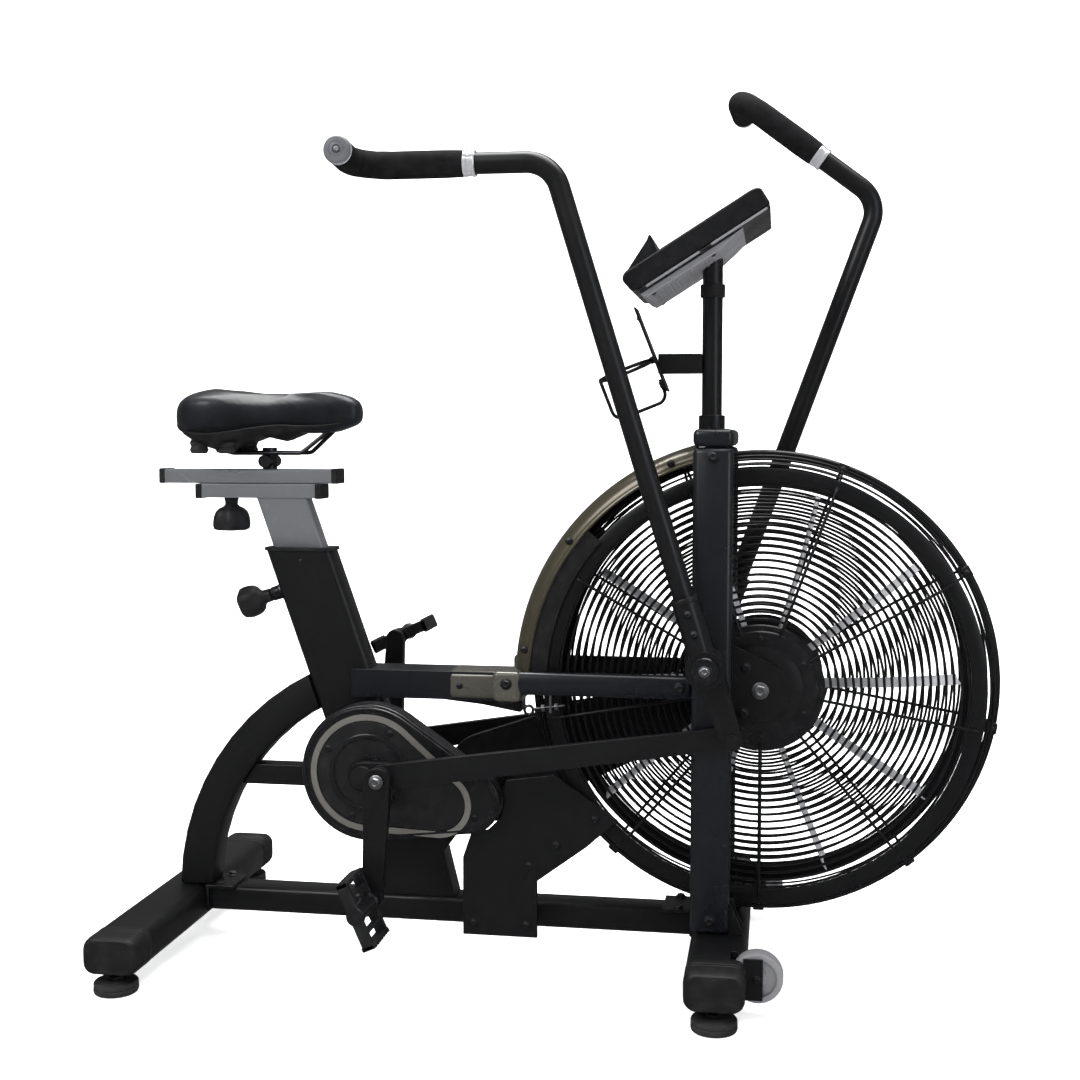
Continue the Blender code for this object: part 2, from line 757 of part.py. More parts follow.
def cage_half(word, side):
    """A flat grille with its hub disc, and a shoulder that leans in to the rim."""
    pitch = (BAND_R - HUB_DISC_R) / WINDOW_BANDS
    step = 360 / SPOKES
    sides = SPOKES * ARC_STEPS
    loops = [circle(0, 0, CAGE_FLAT_R, sides)]
    for ring in range(WINDOW_BANDS):
        low = HUB_DISC_R + ring * pitch + (RING_WIDTH if ring else 0)
        high = HUB_DISC_R + (ring + 1) * pitch
        for spoke in range(SPOKES):
            a = SPOKE_START + spoke * step
            loops.append(cage_window(low, high, a, a + step))
    grille = side_plate(f"cage_{word}", side, loops, CAGE_Y, CAGE_Y + CAGE_PLATE, "cage_black")
    disc = side_plate(f"cage_disc_{word}", side, [circle(0, 0, HUB_DISC_R - 0.0015, sides)],
                      CAGE_Y + CAGE_PLATE / 2, CAGE_Y + CAGE_PLATE + HUB_DISC_THICK)
    bore = side_bar(f"cage_bore_{word}", side, 0, 0, CAGE_Y - 0.01, CAGE_Y + 0.02, BEARING_R, None, 18)
    lip = CAGE_R - CAGE_RING_R
    start = CAGE_FLAT_R - 0.002
    skin = 0.0004
    profile = [(start, CAGE_Y + CAGE_PLATE - skin), (lip, CAGE_LIP_Y + CAGE_PLATE), (lip, CAGE_LIP_Y),
               (start, CAGE_Y + skin)]
    shoulder = turned(f"cage_shoulder_{word}", profile, None, sides, ring=True)
    shoulder.rotation_euler = (math.radians(90) if side == RIGHT else math.radians(-90), 0, 0)
    cut(join(grille, disc, shoulder), bore)
    return [grille, disc, shoulder, bore]


def cage_ring():
    """The thick rim between the two grilles, which is part of the right one."""
    half = CAGE_LIP_Y - GAP
    sides = SPOKES * ARC_STEPS
    return plate("cage_ring", [circle(0, 0, CAGE_R, sides), circle(0, 0, CAGE_R - 2 * CAGE_RING_R, sides)],
                 -CAGE_LIP_Y - 0.001, half)


def fan_wheel():
    outline = []
    half = BLADE_THICK / 2
    for i in range(FAN_BLADES):
        a = 360 * i / FAN_BLADES
        for r in (FAN_HUB_R, FAN_TIP_R):
            outline.append(polar(0, 0, r, a - math.degrees(half / r)))
        for r in (FAN_TIP_R, FAN_HUB_R):
            outline.append(polar(0, 0, r, a + math.degrees(half / r)))
    return plate("fan_wheel", [outline, circle(0, 0, SHAFT_R + GAP, 16)], -FAN_HALF_WIDTH, FAN_HALF_WIDTH,
                 "blade_grey")


def fender():
    """A channel section swept round the rear of the cage."""
    half, inner = FENDER_HALF_WIDTH, FENDER_HALF_WIDTH - FENDER_WALL
    section = [(FENDER_INNER_R, -half), (FENDER_R - 0.010, -half), (FENDER_R, -half + 0.012),
               (FENDER_R, half - 0.012), (FENDER_R - 0.010, half), (FENDER_INNER_R, half),
               (FENDER_INNER_R, inner), (FENDER_R - 0.011, inner), (FENDER_R - FENDER_WALL, inner - 0.010),
               (FENDER_R - FENDER_WALL, -inner + 0.010), (FENDER_R - 0.011, -inner),
               (FENDER_INNER_R, -inner)]
    steps = 14
    first = math.radians(FENDER_START)
    sweep = math.radians(FENDER_END) - first
    bm = bmesh.new()
    rows = []
    for i in range(steps + 1):
        a = first + sweep * i / steps
        rows.append([bm.verts.new((r * math.cos(a), y, r * math.sin(a))) for r, y in section])
    count = len(section)
    for row, after in zip(rows, rows[1:]):
        for k in range(count):
            bm.faces.new((row[k], row[(k + 1) % count], after[(k + 1) % count], after[k]))
    bm.faces.new(rows[0])
    bm.faces.new(rows[-1])
    bmesh.ops.recalc_face_normals(bm, faces=bm.faces)
    mesh = bpy.data.meshes.new("fender")
    bm.to_mesh(mesh)
    bm.free()
    return add("fender", mesh, "fender_olive")


def fan_shaft():
    """The shaft that turns with the fan, with its belt pulley."""
    reach = MAST_INNER - GAP
    shaft = cylinder("fan_shaft", (0, -reach, 0), (0, reach, 0), SHAFT_R, "steel", 16)
    half = BELT_WIDTH / 2
    pulley = plate("fan_pulley", [circle(0, 0, FAN_PULLEY_R, 24)], BELT_Y - half, BELT_Y + half)
    join(shaft, pulley)
    return [shaft, pulley]


def axle_plate(word, side):
    """The plate on the mast's inner face, with the fan shaft's bearing in it."""
    mast = (PIVOT_X - FAN_X, PIVOT_Z - FAN_Z)
    loops = [link_outline(mast, MAST_WIDTH / 2 + AXLE_PLATE_LAP, (0, 0), 0.042), circle(0, 0, SHAFT_R + RUN, 20)]
    return side_plate(f"axle_plate_{word}", side, loops, AXLE_PLATE_INNER, MAST_INNER - GAP, "frame_black")


def fan():
    axis = holder("fan_axis", FAN_X, 0, FAN_Z)
    hang(axis, fan_wheel(), *fan_shaft(), fender())
    for word, side in SIDES:
        hang(axis, *cage_half(word, side))
        hang(axis, axle_plate(word, side))
    rim = cage_ring()
    hang(axis, rim)
    join(bpy.data.objects["cage_right"], rim)


# ---------- drive ----------

def pitch_radius(teeth):
    return CHAIN_PITCH / (2 * math.sin(math.pi / teeth))


def loop_band(name, a, ra, b, rb, thick, y_mid, width, slot):
    """A chain or belt round two wheels, whose facets clear them."""
    clear = 1 / math.cos(math.pi / LOOP_STEPS / 2) ** 2
    inner = link_outline(a, ra * clear, b, rb * clear, LOOP_STEPS)
    outer = link_outline(a, ra * clear + thick, b, rb * clear + thick, LOOP_STEPS)
    return plate(name, [outer, inner], y_mid - width / 2, y_mid + width / 2, slot)


def cover(name, side, a, ra, b, rb, inner, outer, slot, shafts):
    """A hollow cover with walls all round, and a clear hole in each wall that a shaft passes."""
    wall = COVER_WALL
    shell = side_plate(name, side, [link_outline(a, ra, b, rb)], inner, outer, slot)
    hollow = side_plate(name + "_hollow", side, [link_outline(a, ra - wall, b, rb - wall)],
                        inner + wall, outer - wall)
    cut(shell, hollow)
    for number, (x, z, r, low, high) in enumerate(shafts):
        cut(shell, side_bar(f"{name}_bore_{number}", side, x, z, low, high, r, None, 16))


def drive():
    crank, jack, fan_at = (CRANK_X, CRANK_Z), (JACK_X, JACK_Z), (FAN_X, FAN_Z)
    ring_r, sprocket_r = pitch_radius(RING_TEETH), pitch_radius(SPROCKET_TEETH)
    half = SPROCKET_THICK / 2
    plate("chainring", [toothed(*crank, RING_TEETH, ring_r, TOOTH), circle(*crank, AXLE_R + GAP, 16)],
          CHAIN_Y - half, CHAIN_Y + half, "steel")
    shaft = cylinder("jackshaft", (JACK_X, CHAIN_Y - 0.006, JACK_Z), (JACK_X, BELT_Y + 0.004, JACK_Z),
                     AXLE_R, "steel", 16)
    sprocket = plate("jackshaft_sprocket", [toothed(*jack, SPROCKET_TEETH, sprocket_r, TOOTH)],
                     CHAIN_Y - half, CHAIN_Y + half)
    half = BELT_WIDTH / 2
    pulley = plate("jackshaft_pulley", [circle(*jack, JACK_PULLEY_R, 32)], BELT_Y - half, BELT_Y + half)
    join(shaft, sprocket, pulley)
    clear = TOOTH + GAP
    loop_band("drive_chain", crank, ring_r + clear, jack, sprocket_r + clear, CHAIN_THICK, CHAIN_Y,
              CHAIN_WIDTH, "steel")
    loop_band("fan_belt", jack, JACK_PULLEY_R + GAP, fan_at, FAN_PULLEY_R + GAP, BELT_THICK, BELT_Y,
              BELT_WIDTH, "rubber_black")
    hole = AXLE_R + 0.003
    cover("chain_guard", RIGHT, crank, GUARD_R, jack, GUARD_TAIL_R, GUARD_INNER, GUARD_OUTER,
          "plastic_black", [(*crank, hole, GUARD_INNER - 0.01, GUARD_OUTER + 0.01),
                            (*jack, hole, GUARD_INNER - 0.01, GUARD_INNER + 0.01)])
    cover("belt_case", LEFT, jack, BELT_CASE_R, fan_at, BELT_CASE_FAN_R, BELT_CASE_INNER,
          BELT_CASE_OUTER, "plastic_black", [(*fan_at, hole, BELT_CASE_INNER - 0.01, BELT_CASE_OUTER + 0.01),
                                             (*jack, hole, BELT_CASE_INNER - 0.01, BELT_CASE_INNER + 0.006)])
    crank_support()
    plate_on_side = side_plate("drive_plate", RIGHT, [drive_plate_outline()], DRIVE_PLATE_INNER,
                               DRIVE_PLATE_OUTER, "frame_black")
    spacer = box("plate_spacer", (JACK_X + 0.005, -DRIVE_PLATE_INNER - 0.001, FOOT_TOP - RAIL_HEIGHT + 0.003),
                 (JACK_X + 0.080, -RAIL_WIDTH / 2 - GAP, FOOT_TOP - 0.003))
    join(plate_on_side, spacer)


def crank_support():
    """A weldment on the base rail: a web with the crank's shell and the jackshaft's housing."""
    crank, jack = (CRANK_X, CRANK_Z), (JACK_X, JACK_Z)
    rail_top = FOOT_TOP + GAP
    back, front = CRANK_X - SUPPORT_BACK, CRANK_X + SUPPORT_FRONT
    outline = [(back, rail_top), (front, rail_top), (front - 0.017, rail_top + 0.069),
               (JACK_X + 0.002, JACK_Z - 0.020), (JACK_X, JACK_Z + 0.015), (CRANK_X, CRANK_Z + 0.020),
               (back, CRANK_Z)]
    web = plate("crank_support", [outline], -SUPPORT_HALF, SUPPORT_HALF, "frame_black")
    for name, (x, z) in (("crank_shell", crank), ("jackshaft_housing", jack)):
        shell = plate(name, [circle(x, z, BB_R, 20)], -BB_HALF, BB_HALF)
        bore = plate(name + "_bore", [circle(x, z, AXLE_R + RUN, 16)], -BB_HALF - 0.01, BB_HALF + 0.01)
        cut(join(web, shell), bore)


def drive_plate_outline():
    """The cheek plate between the guard's tail and the base rail, in front of the cage's lower edge."""
    tail = GUARD_TAIL_R + 0.004
    around = [polar(JACK_X, JACK_Z, tail, a) for a in (20, -5, -30, -60, -90)]
    low = FOOT_TOP - RAIL_HEIGHT + 0.001
    rear, front = PLATE_BASE_X
    return [*around, (rear, JACK_Z - tail - 0.035), (rear, low), (front, low), *PLATE_NOSE,
            (JACK_X + tail + 0.002, JACK_Z + 0.030)]


def crank():
    """Axle, webs with their journals, and pedal arms bolted on the journals."""
    cylinder("crank_axle", (CRANK_X, -WEB_OUTER, CRANK_Z), (CRANK_X, WEB_OUTER, CRANK_Z), AXLE_R, "steel", 16)
    for word, side in SIDES:
        journal, pedal = journal_at(side), pedal_at(side)
        web = side_plate(f"crank_web_{word}", side,
                         [link_outline((CRANK_X, CRANK_Z), 0.022, journal, 0.017),
                          circle(CRANK_X, CRANK_Z, AXLE_R + GAP, 16)],
                         WEB_INNER, WEB_OUTER, "frame_black")
        join(web, side_bar(f"journal_{word}", side, *journal, WEB_OUTER - 0.004, ARM_OUTER + 0.004,
                           JOURNAL_R, None, 16))
        arm = side_plate(f"crank_arm_{word}", side,
                         [link_outline(journal, 0.019, pedal, 0.0145), circle(*journal, JOURNAL_R + GAP, 16)],
                         ARM_INNER, ARM_OUTER, "frame_black")
        tip = PEDAL_Y + PEDAL_WIDTH / 2 - PEDAL_WALL - 0.001
        join(arm, side_bar(f"pedal_spindle_{word}", side, *pedal, ARM_OUTER - 0.004, tip, SPINDLE_R,
                           None, 12))


def push_rods():
    for word, side in SIDES:
        start = journal_at(side)
        end = lever_pin(start)
        r = ROD_HEIGHT / 2
        side_plate(f"push_rod_{word}", side,
                   [link_outline(start, r + 0.003, end, r), circle(*start, JOURNAL_R + RUN, 16)],
                   ROD_INNER, ROD_OUTER, "frame_black")


def pedals():
    """Open cage pedals, each turning on its spindle."""
    for word, side in SIDES:
        x, z = pedal_at(side)
        axis = holder(f"pedal_axis_{word}", x, side * PEDAL_Y, z, math.radians(PEDAL_TILT[word]))
        half_w, half_l, half_t = PEDAL_WIDTH / 2, PEDAL_LENGTH / 2, PEDAL_THICK / 2
        body = box(f"pedal_{word}", (-half_l, -half_w, -half_t), (half_l, half_w, half_t),
                   "plastic_black", 0.003)
        holes = []
        for end, sign in (("rear", -1), ("front", 1)):
            xs = sorted((sign * (SPINDLE_TUBE_R + 0.0005), sign * (half_l - PEDAL_WALL)))
            holes.append(box(f"pedal_{end}_hole_{word}", (xs[0], -half_w + PEDAL_WALL, -half_t - 0.01),
                             (xs[1], half_w - PEDAL_WALL, half_t + 0.01)))
        barrel = cylinder(f"pedal_barrel_{word}", (0, -half_w, 0), (0, half_w, 0), SPINDLE_TUBE_R)
        inner_end = -side * (half_w + 0.001)
        outer_stop = side * (half_w - PEDAL_WALL)
        bore = cylinder(f"pedal_bore_{word}", (0, inner_end, 0), (0, outer_stop, 0), SPINDLE_R + RUN,
                        None, 16)
        cut(body, *holes)
        join(body, barrel)
        cut(body, bore)
        hang(axis, body, barrel, bore, *holes)


# ---------- handles ----------

def handle_path():
    """The handle's centre line in its own frame: the pivot at the origin, the tube upright."""
    rise = Vector((0, 0, HANDLE_RISE))
    run = Vector((-math.cos(math.radians(RUN_ANGLE)), 0, math.sin(math.radians(RUN_ANGLE))))
    corner = rise + run * HANDLE_RUN
    return rounded([(0, 0, PIVOT_HUB_R + 0.006), rise, corner], HANDLE_BEND_R, 6), corner, run


def grip_path(side):
    """From the band, along the run, then round and out to the side."""
    _, corner, run = handle_path()
    out = Vector((0, side, 0))
    straight = GRIP_STRAIGHT
    start = corner + run * GAP
    path = [start, corner + run * straight]
    turn_at = path[-1]
    steps = 7
    for i in range(1, steps + 1):
        a = math.radians(GRIP_TURN) * i / steps
        path.append(turn_at + run * GRIP_BEND_R * math.sin(a) + out * GRIP_BEND_R * (1 - math.cos(a)))
    a = math.radians(GRIP_TURN)
    heading = run * math.cos(a) + out * math.sin(a)
    path.append(path[-1] + heading * GRIP_TAIL)
    return path, heading


def stretched(path, before, after):
    """The same path, carried on straight past both ends."""
    first = path[0] + (path[0] - path[1]).normalized() * before
    last = path[-1] + (path[-1] - path[-2]).normalized() * after
    return [first, *path[1:-1], last]


def handle(word, side):
    lean = handle_lean(side)
    axis = holder(f"handle_axis_{word}", PIVOT_X, 0, PIVOT_Z, lean)
    path, corner, run = handle_path()
    path = [p + Vector((0, side * HANDLE_Y, 0)) for p in path]
    grip_line, heading = grip_path(side)
    grip_line = [p + Vector((0, side * HANDLE_Y, 0)) for p in grip_line]
    tube = wire(f"handle_{word}", path[:-1] + grip_line, HANDLE_R, "frame_black")
    grip = wire(f"grip_{word}", grip_line, GRIP_R, "foam_black")
    bore = wire(f"grip_bore_{word}", stretched(grip_line, 0.004, 0.004), HANDLE_R + GAP)
    cut(grip, bore)
    tip = grip_line[-1]
    plug = cylinder(f"grip_plug_{word}", tip + heading * GAP, tip + heading * PLUG_LENGTH, GRIP_R - 0.001)
    core = cylinder(f"plug_core_{word}", tip - heading * 0.002, tip + heading * 0.004, HANDLE_R * 0.9)
    join(tube, core, plug)
    bracket = handle_bracket(word, side, axis)
    hang(axis, tube, grip, bore, plug, core, bracket)


def handle_bracket(word, side, axis):
    """Pivot hub, the sleeve that takes the tube, and the lever with its pin boss."""
    bend = math.radians(LEVER_BEND)
    pin = (LEVER_LENGTH * math.sin(bend), -LEVER_LENGTH * math.cos(bend))
    hub = side_bar(f"handle_bracket_{word}", side, 0, 0, PIVOT_HUB_INNER, PIVOT_HUB_OUTER, PIVOT_HUB_R,
                   "frame_black", 20)
    lever = side_plate(f"lever_{word}", side, [link_outline((0, 0), 0.022, pin, 0.014)],
                       LEVER_INNER, LEVER_OUTER)
    boss = side_bar(f"lever_boss_{word}", side, *pin, ROD_OUTER + 0.001, LEVER_OUTER + 0.004, LEVER_BOSS_R,
                    None, 16)
    y = side * HANDLE_Y
    sleeve = cylinder(f"sleeve_{word}", (0, y, 0.004), (0, y, SLEEVE_TOP), SLEEVE_R)
    socket = cylinder(f"socket_{word}", (0, y, PIVOT_HUB_R + 0.006 - GAP), (0, y, SLEEVE_TOP + 0.01),
                      HANDLE_R + GAP)
    bore = side_bar(f"hub_bore_{word}", side, 0, 0, PIVOT_HUB_INNER - 0.01, PIVOT_HUB_OUTER + 0.01,
                    PIVOT_R + RUN)
    join(hub, lever, boss, sleeve)
    cut(hub, socket, bore)
    hang(axis, lever, boss, sleeve, socket, bore)
    return hub


# ---------- seat ----------

def seat_frame():
    lean = math.radians(SEAT_TUBE_LEAN)
    return holder("seat_tube_top", SEAT_TUBE_TOP[0], 0, SEAT_TUBE_TOP[1], -lean)


def oval(name, depth, width, low, high, slot=None, rounding=0.010):
    """A rounded rectangular bar along the seat tube."""
    mesh = flat_mesh(name, [rounded_rectangle(depth, width, rounding)], low, high)
    return add(name, mesh, slot, smooth=False)


def rounded_rectangle(depth, width, radius, steps=3):
    points = []
    for cx, cy, first in ((1, 1, 0), (-1, 1, 90), (-1, -1, 180), (1, -1, 270)):
        x = cx * (depth / 2 - radius)
        y = cy * (width / 2 - radius)
        points += [polar(x, y, radius, first + 90 * i / steps) for i in range(steps + 1)]
    return points


def level_cutter(name, height):
    """Takes off what stands above a level plane."""
    return box(name, (-1.0, -0.1, height), (0.0, 0.1, height + 0.2))


def seat_tube(frame):
    """The leaning tube, cut level at its top, with a bush whose flange lies on it."""
    wall = 2 * SEAT_TUBE_WALL
    lean = math.radians(SEAT_TUBE_LEAN)
    over = SEAT_TUBE_DEPTH / 2 * math.tan(lean) + 0.005
    bush_depth = SEAT_TUBE_DEPTH - wall - 2 * GAP
    bush_width = SEAT_TUBE_WIDTH - wall - 2 * GAP
    tube = oval("seat_tube", SEAT_TUBE_DEPTH, SEAT_TUBE_WIDTH, -SEAT_TUBE_LENGTH, over,
                "frame_black")
    inside = oval("seat_tube_inside", SEAT_TUBE_DEPTH - wall, SEAT_TUBE_WIDTH - wall,
                  -SEAT_TUBE_LENGTH - 0.01, over + 0.01, None, 0.008)
    pin_z = -POP_DROP
    boss = cylinder("pop_pin_boss", (-SEAT_TUBE_DEPTH / 2 + 0.002, 0, pin_z),
                    (-SEAT_TUBE_DEPTH / 2 - POP_BOSS_LENGTH, 0, pin_z), POP_BOSS_R)
    pin_hole = cylinder("pop_pin_hole", (-SEAT_TUBE_DEPTH / 2 - 0.05, 0, pin_z),
                        (-SEAT_POST_DEPTH / 2 + 0.002, 0, pin_z), POP_PIN_R + RUN, None, 16)
    cut(join(tube, boss), inside, pin_hole, level_cutter("seat_tube_end", SEAT_TUBE_TOP[1]))
    bush = oval("seat_bush", bush_depth, bush_width, -BUSH_DEPTH, over, "plastic_black", 0.0075)
    cut(bush, level_cutter("bush_end", SEAT_TUBE_TOP[1] + GAP + 0.001))
    flange = oval("bush_flange", SEAT_TUBE_DEPTH / math.cos(lean) + 2 * FLANGE_OVER,
                  SEAT_TUBE_WIDTH + 2 * FLANGE_OVER, GAP, FLANGE_THICK, None, 0.012)
    flange.location = (SEAT_TUBE_TOP[0], 0, SEAT_TUBE_TOP[1])
    bush_hole = oval("bush_hole", SEAT_POST_DEPTH + 2 * GAP, SEAT_POST_WIDTH + 2 * GAP,
                     -BUSH_DEPTH - 0.01, over + 0.02, None, 0.006)
    cut(join(bush, flange), bush_hole, pin_hole)
    knob_start = -POP_KNOB_OUT
    pin = cylinder("pop_pin", (knob_start + 0.004, 0, pin_z), (-SEAT_POST_DEPTH / 2 - 2 * GAP, 0, pin_z),
                   POP_PIN_R, "plastic_black", 16)
    knob_end = knob_start + POP_KNOB_LENGTH
    knob = cylinder("pop_pin_knob", (knob_start, 0, pin_z), (knob_end, 0, pin_z), POP_KNOB_R)
    join(pin, knob)
    hang(frame, tube, inside, boss, pin_hole, bush, bush_hole, pin, knob)


def seat_post(frame):
    """The post, cut level at its top and welded to the lower seat bar."""
    post = oval("seat_post", SEAT_POST_DEPTH, SEAT_POST_WIDTH, -SEAT_POST_BELOW, 0.140, "silver_paint", 0.006)
    hang(frame, post)
    half = RAIL_BAR_WIDTH / 2
    top = box("post_top_cut", (-1.0, -0.1, LOW_BAR_BOTTOM + 0.004), (0.0, 0.1, LOW_BAR_BOTTOM + 0.2))
    bar = box("seat_lower_bar", (LOW_BAR_X[0], -half, LOW_BAR_BOTTOM),
              (LOW_BAR_X[1], half, LOW_BAR_BOTTOM + RAIL_BAR_HEIGHT))
    join(cut(post, top), bar)


def star_knob():
    """The hand screw under the lower bar that clamps the sliding bar."""
    top = LOW_BAR_BOTTOM - GAP
    shoulder = top - STAR_STEM
    bottom = shoulder - STAR_HEIGHT
    profile = [(0, top), (STAR_STEM_R, top), (STAR_STEM_R * 0.9, shoulder), (STAR_R * 0.75, shoulder - 0.006),
               (STAR_R, bottom + 0.010), (STAR_R * 0.95, bottom), (0, bottom)]
    knob = turned("slider_knob", profile, "plastic_black", 16)
    knob.location = (STAR_X, 0, 0)


def seat_bars():
    half = RAIL_BAR_WIDTH / 2
    low_top = LOW_BAR_BOTTOM + RAIL_BAR_HEIGHT
    slide_low = low_top + RUN
    slide_top = slide_low + RAIL_BAR_HEIGHT
    box("seat_slider", (TOP_BAR_X[0], -half, slide_low), (TOP_BAR_X[1], half, slide_top),
        "silver_paint", 0.002)
    clamp = cylinder("saddle_clamp", (CLAMP_X, 0, slide_top + GAP), (CLAMP_X, 0, SADDLE_BOTTOM + 0.012),
                     CLAMP_STEM_R, "plastic_black", 16)
    head_z = slide_top + 0.012
    head = cylinder("clamp_head", (CLAMP_X, -CLAMP_HALF, head_z), (CLAMP_X, CLAMP_HALF, head_z), CLAMP_HEAD_R)
    join(clamp, head)


# x from the saddle's tail, half width, lowest and highest z above SADDLE_BOTTOM
SADDLE_TAIL = -0.812
SADDLE_SECTIONS = (
    (0.004, 0.060, 0.030, 0.072),
    (0.025, 0.088, 0.006, 0.098),
    (0.070, 0.100, 0.000, 0.100),
    (0.120, 0.088, 0.014, 0.094),
    (0.170, 0.062, 0.022, 0.092),
    (0.215, 0.040, 0.028, 0.094),
    (0.255, 0.030, 0.036, 0.096),
    (0.280, 0.022, 0.044, 0.086),
    (0.289, 0.010, 0.054, 0.070),
)
SADDLE_AROUND = 12
CLAMP_RECESS = 0.016


def saddle():
    """A lofted pad, wide at the back with a narrow nose, recessed over its clamp."""
    bm = bmesh.new()
    rows = []
    for x, half, low, high in SADDLE_SECTIONS:
        middle, rise = (low + high) / 2, (high - low) / 2
        row = []
        for i in range(SADDLE_AROUND):
            a = 2 * math.pi * i / SADDLE_AROUND
            flat = math.copysign(abs(math.sin(a)) ** 0.7, math.sin(a))
            z = SADDLE_BOTTOM + middle + rise * flat
            row.append(bm.verts.new((SADDLE_TAIL + x, half * math.cos(a), z)))
        rows.append(row)
    for row, after in zip(rows, rows[1:]):
        for k in range(SADDLE_AROUND):
            n = (k + 1) % SADDLE_AROUND
            bm.faces.new((row[k], row[n], after[n], after[k]))
    bm.faces.new(rows[0])
    bm.faces.new(rows[-1])
    bmesh.ops.recalc_face_normals(bm, faces=bm.faces)
    mesh = bpy.data.meshes.new("saddle")
    bm.to_mesh(mesh)
    bm.free()
    pad = add("saddle", mesh, "saddle_black")
    recess = box("saddle_recess", (CLAMP_X - 0.022, -0.030, SADDLE_BOTTOM - 0.03),
                 (CLAMP_X + 0.022, 0.030, SADDLE_BOTTOM + CLAMP_RECESS + 0.012))
    cut(pad, recess)


def seat():
    frame = seat_frame()
    seat_tube(frame)
    seat_post(frame)
    seat_bars()
    star_knob()
    saddle()


# ---------- rear frame and top bars ----------

def rear_frame():
    bottom = FOOT_TOP + GAP
    arc = arc_between((ARC_FOOT_X, bottom), ARC_TOP, ARC_BOW, 10)
    outline = band_outline(arc, ARC_DEPTH)
    outline[0] = (outline[0][0], bottom)
    outline[-1] = (outline[-1][0], bottom)
    strip = plate("rear_arc", [outline], -ARC_WIDTH / 2, ARC_WIDTH / 2, "frame_black", 0.006)
    clear = oval("arc_tube_clear", SEAT_TUBE_DEPTH + 2 * GAP, SEAT_TUBE_WIDTH + 0.04,
                 -SEAT_TUBE_LENGTH - 0.05, 0.02)
    front = bpy.data.objects["seat_tube_top"]
    hang(front, clear)
    cut(strip, clear)
    arc_clear = plate("brace_arc_clear", [band_outline(arc, ARC_DEPTH + 2 * GAP)], -0.1, 0.1)
    brace = box("brace", (BRACE_REAR_X, -BRACE_WIDTH / 2, BRACE_Z - BRACE_HEIGHT / 2),
                (CRANK_X - BB_R - GAP, BRACE_WIDTH / 2, BRACE_Z + BRACE_HEIGHT / 2), "frame_black")
    cut(brace, arc_clear)
    tube_box = oval("top_tube_clear", SEAT_TUBE_DEPTH + 2 * GAP, SEAT_TUBE_WIDTH + 2 * GAP,
                    -SEAT_TUBE_LENGTH - 0.05, 0.02)
    hang(front, tube_box)
    top = box("top_tube", (TOP_TUBE_X[0], -TOP_TUBE_WIDTH / 2, TOP_TUBE_Z - TOP_TUBE_HEIGHT / 2),
              (TOP_TUBE_X[1], TOP_TUBE_WIDTH / 2, TOP_TUBE_Z + TOP_TUBE_HEIGHT / 2), "frame_black")
    cut(top, tube_box)
    ear = AXLE_PLATE_INNER - 0.0011
    cross = box("top_tube_cross", (CROSS_X - CROSS_WIDTH, -ear, TOP_TUBE_Z - TOP_TUBE_HEIGHT / 2 + 0.004),
                (CROSS_X, ear, TOP_TUBE_Z + TOP_TUBE_HEIGHT / 2 - 0.002))
    join(top, cross)


def side_bars():
    """Flat bars from the top tube's end, past each side of the cage, to the masts."""
    inner = MAST_INNER - GAP - SIDE_BAR_THICK
    low, high = SIDE_BAR_Z - SIDE_BAR_HEIGHT / 2, SIDE_BAR_Z + SIDE_BAR_HEIGHT / 2
    plate_end = MAST_WIDTH / 2 + AXLE_PLATE_LAP
    reach = math.sqrt(max(plate_end ** 2 - (PIVOT_Z - high) ** 2, 0))
    front = min(-MAST_WIDTH / 2 - SIDE_BAR_STOP, PIVOT_X - reach - GAP)
    for word, side in SIDES:
        side_box(f"side_bar_{word}", side, (CROSS_X - CROSS_WIDTH, front), inner,
                 inner + SIDE_BAR_THICK, (low, high), "frame_black", 0.002)


def build():
    base()
    for word, side in SIDES:
        transport_wheel(word, side)
    masts()
    console()
    bottle_holder()
    fan()
    drive()
    crank()
    push_rods()
    pedals()
    for word, side in SIDES:
        handle(word, side)
    seat()
    rear_frame()
    side_bars()


build()
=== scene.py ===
"""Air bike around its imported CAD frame: the visible pieces, their materials, the light and the camera."""

import json
import math

import bmesh
import bpy
from mathutils import Matrix, Quaternion, Vector

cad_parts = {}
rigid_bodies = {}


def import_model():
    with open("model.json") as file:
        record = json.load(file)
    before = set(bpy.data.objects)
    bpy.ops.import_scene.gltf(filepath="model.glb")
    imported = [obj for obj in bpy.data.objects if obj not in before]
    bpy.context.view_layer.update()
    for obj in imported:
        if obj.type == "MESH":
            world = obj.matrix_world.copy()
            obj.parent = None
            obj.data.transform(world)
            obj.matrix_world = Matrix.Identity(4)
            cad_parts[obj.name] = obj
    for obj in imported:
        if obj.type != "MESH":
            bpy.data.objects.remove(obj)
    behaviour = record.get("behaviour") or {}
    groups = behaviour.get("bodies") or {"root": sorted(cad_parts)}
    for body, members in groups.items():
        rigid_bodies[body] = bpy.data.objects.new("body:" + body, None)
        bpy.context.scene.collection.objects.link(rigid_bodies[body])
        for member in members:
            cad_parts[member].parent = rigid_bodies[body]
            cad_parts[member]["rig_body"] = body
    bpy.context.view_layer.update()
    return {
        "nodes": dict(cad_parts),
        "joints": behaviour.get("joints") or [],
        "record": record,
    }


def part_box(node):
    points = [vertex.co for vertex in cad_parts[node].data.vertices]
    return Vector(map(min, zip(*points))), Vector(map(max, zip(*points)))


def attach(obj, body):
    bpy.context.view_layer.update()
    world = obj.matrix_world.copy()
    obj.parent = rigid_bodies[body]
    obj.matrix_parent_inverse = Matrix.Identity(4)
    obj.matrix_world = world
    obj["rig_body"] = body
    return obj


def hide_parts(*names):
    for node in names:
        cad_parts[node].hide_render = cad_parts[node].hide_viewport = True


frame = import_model()
NODES = frame["nodes"]
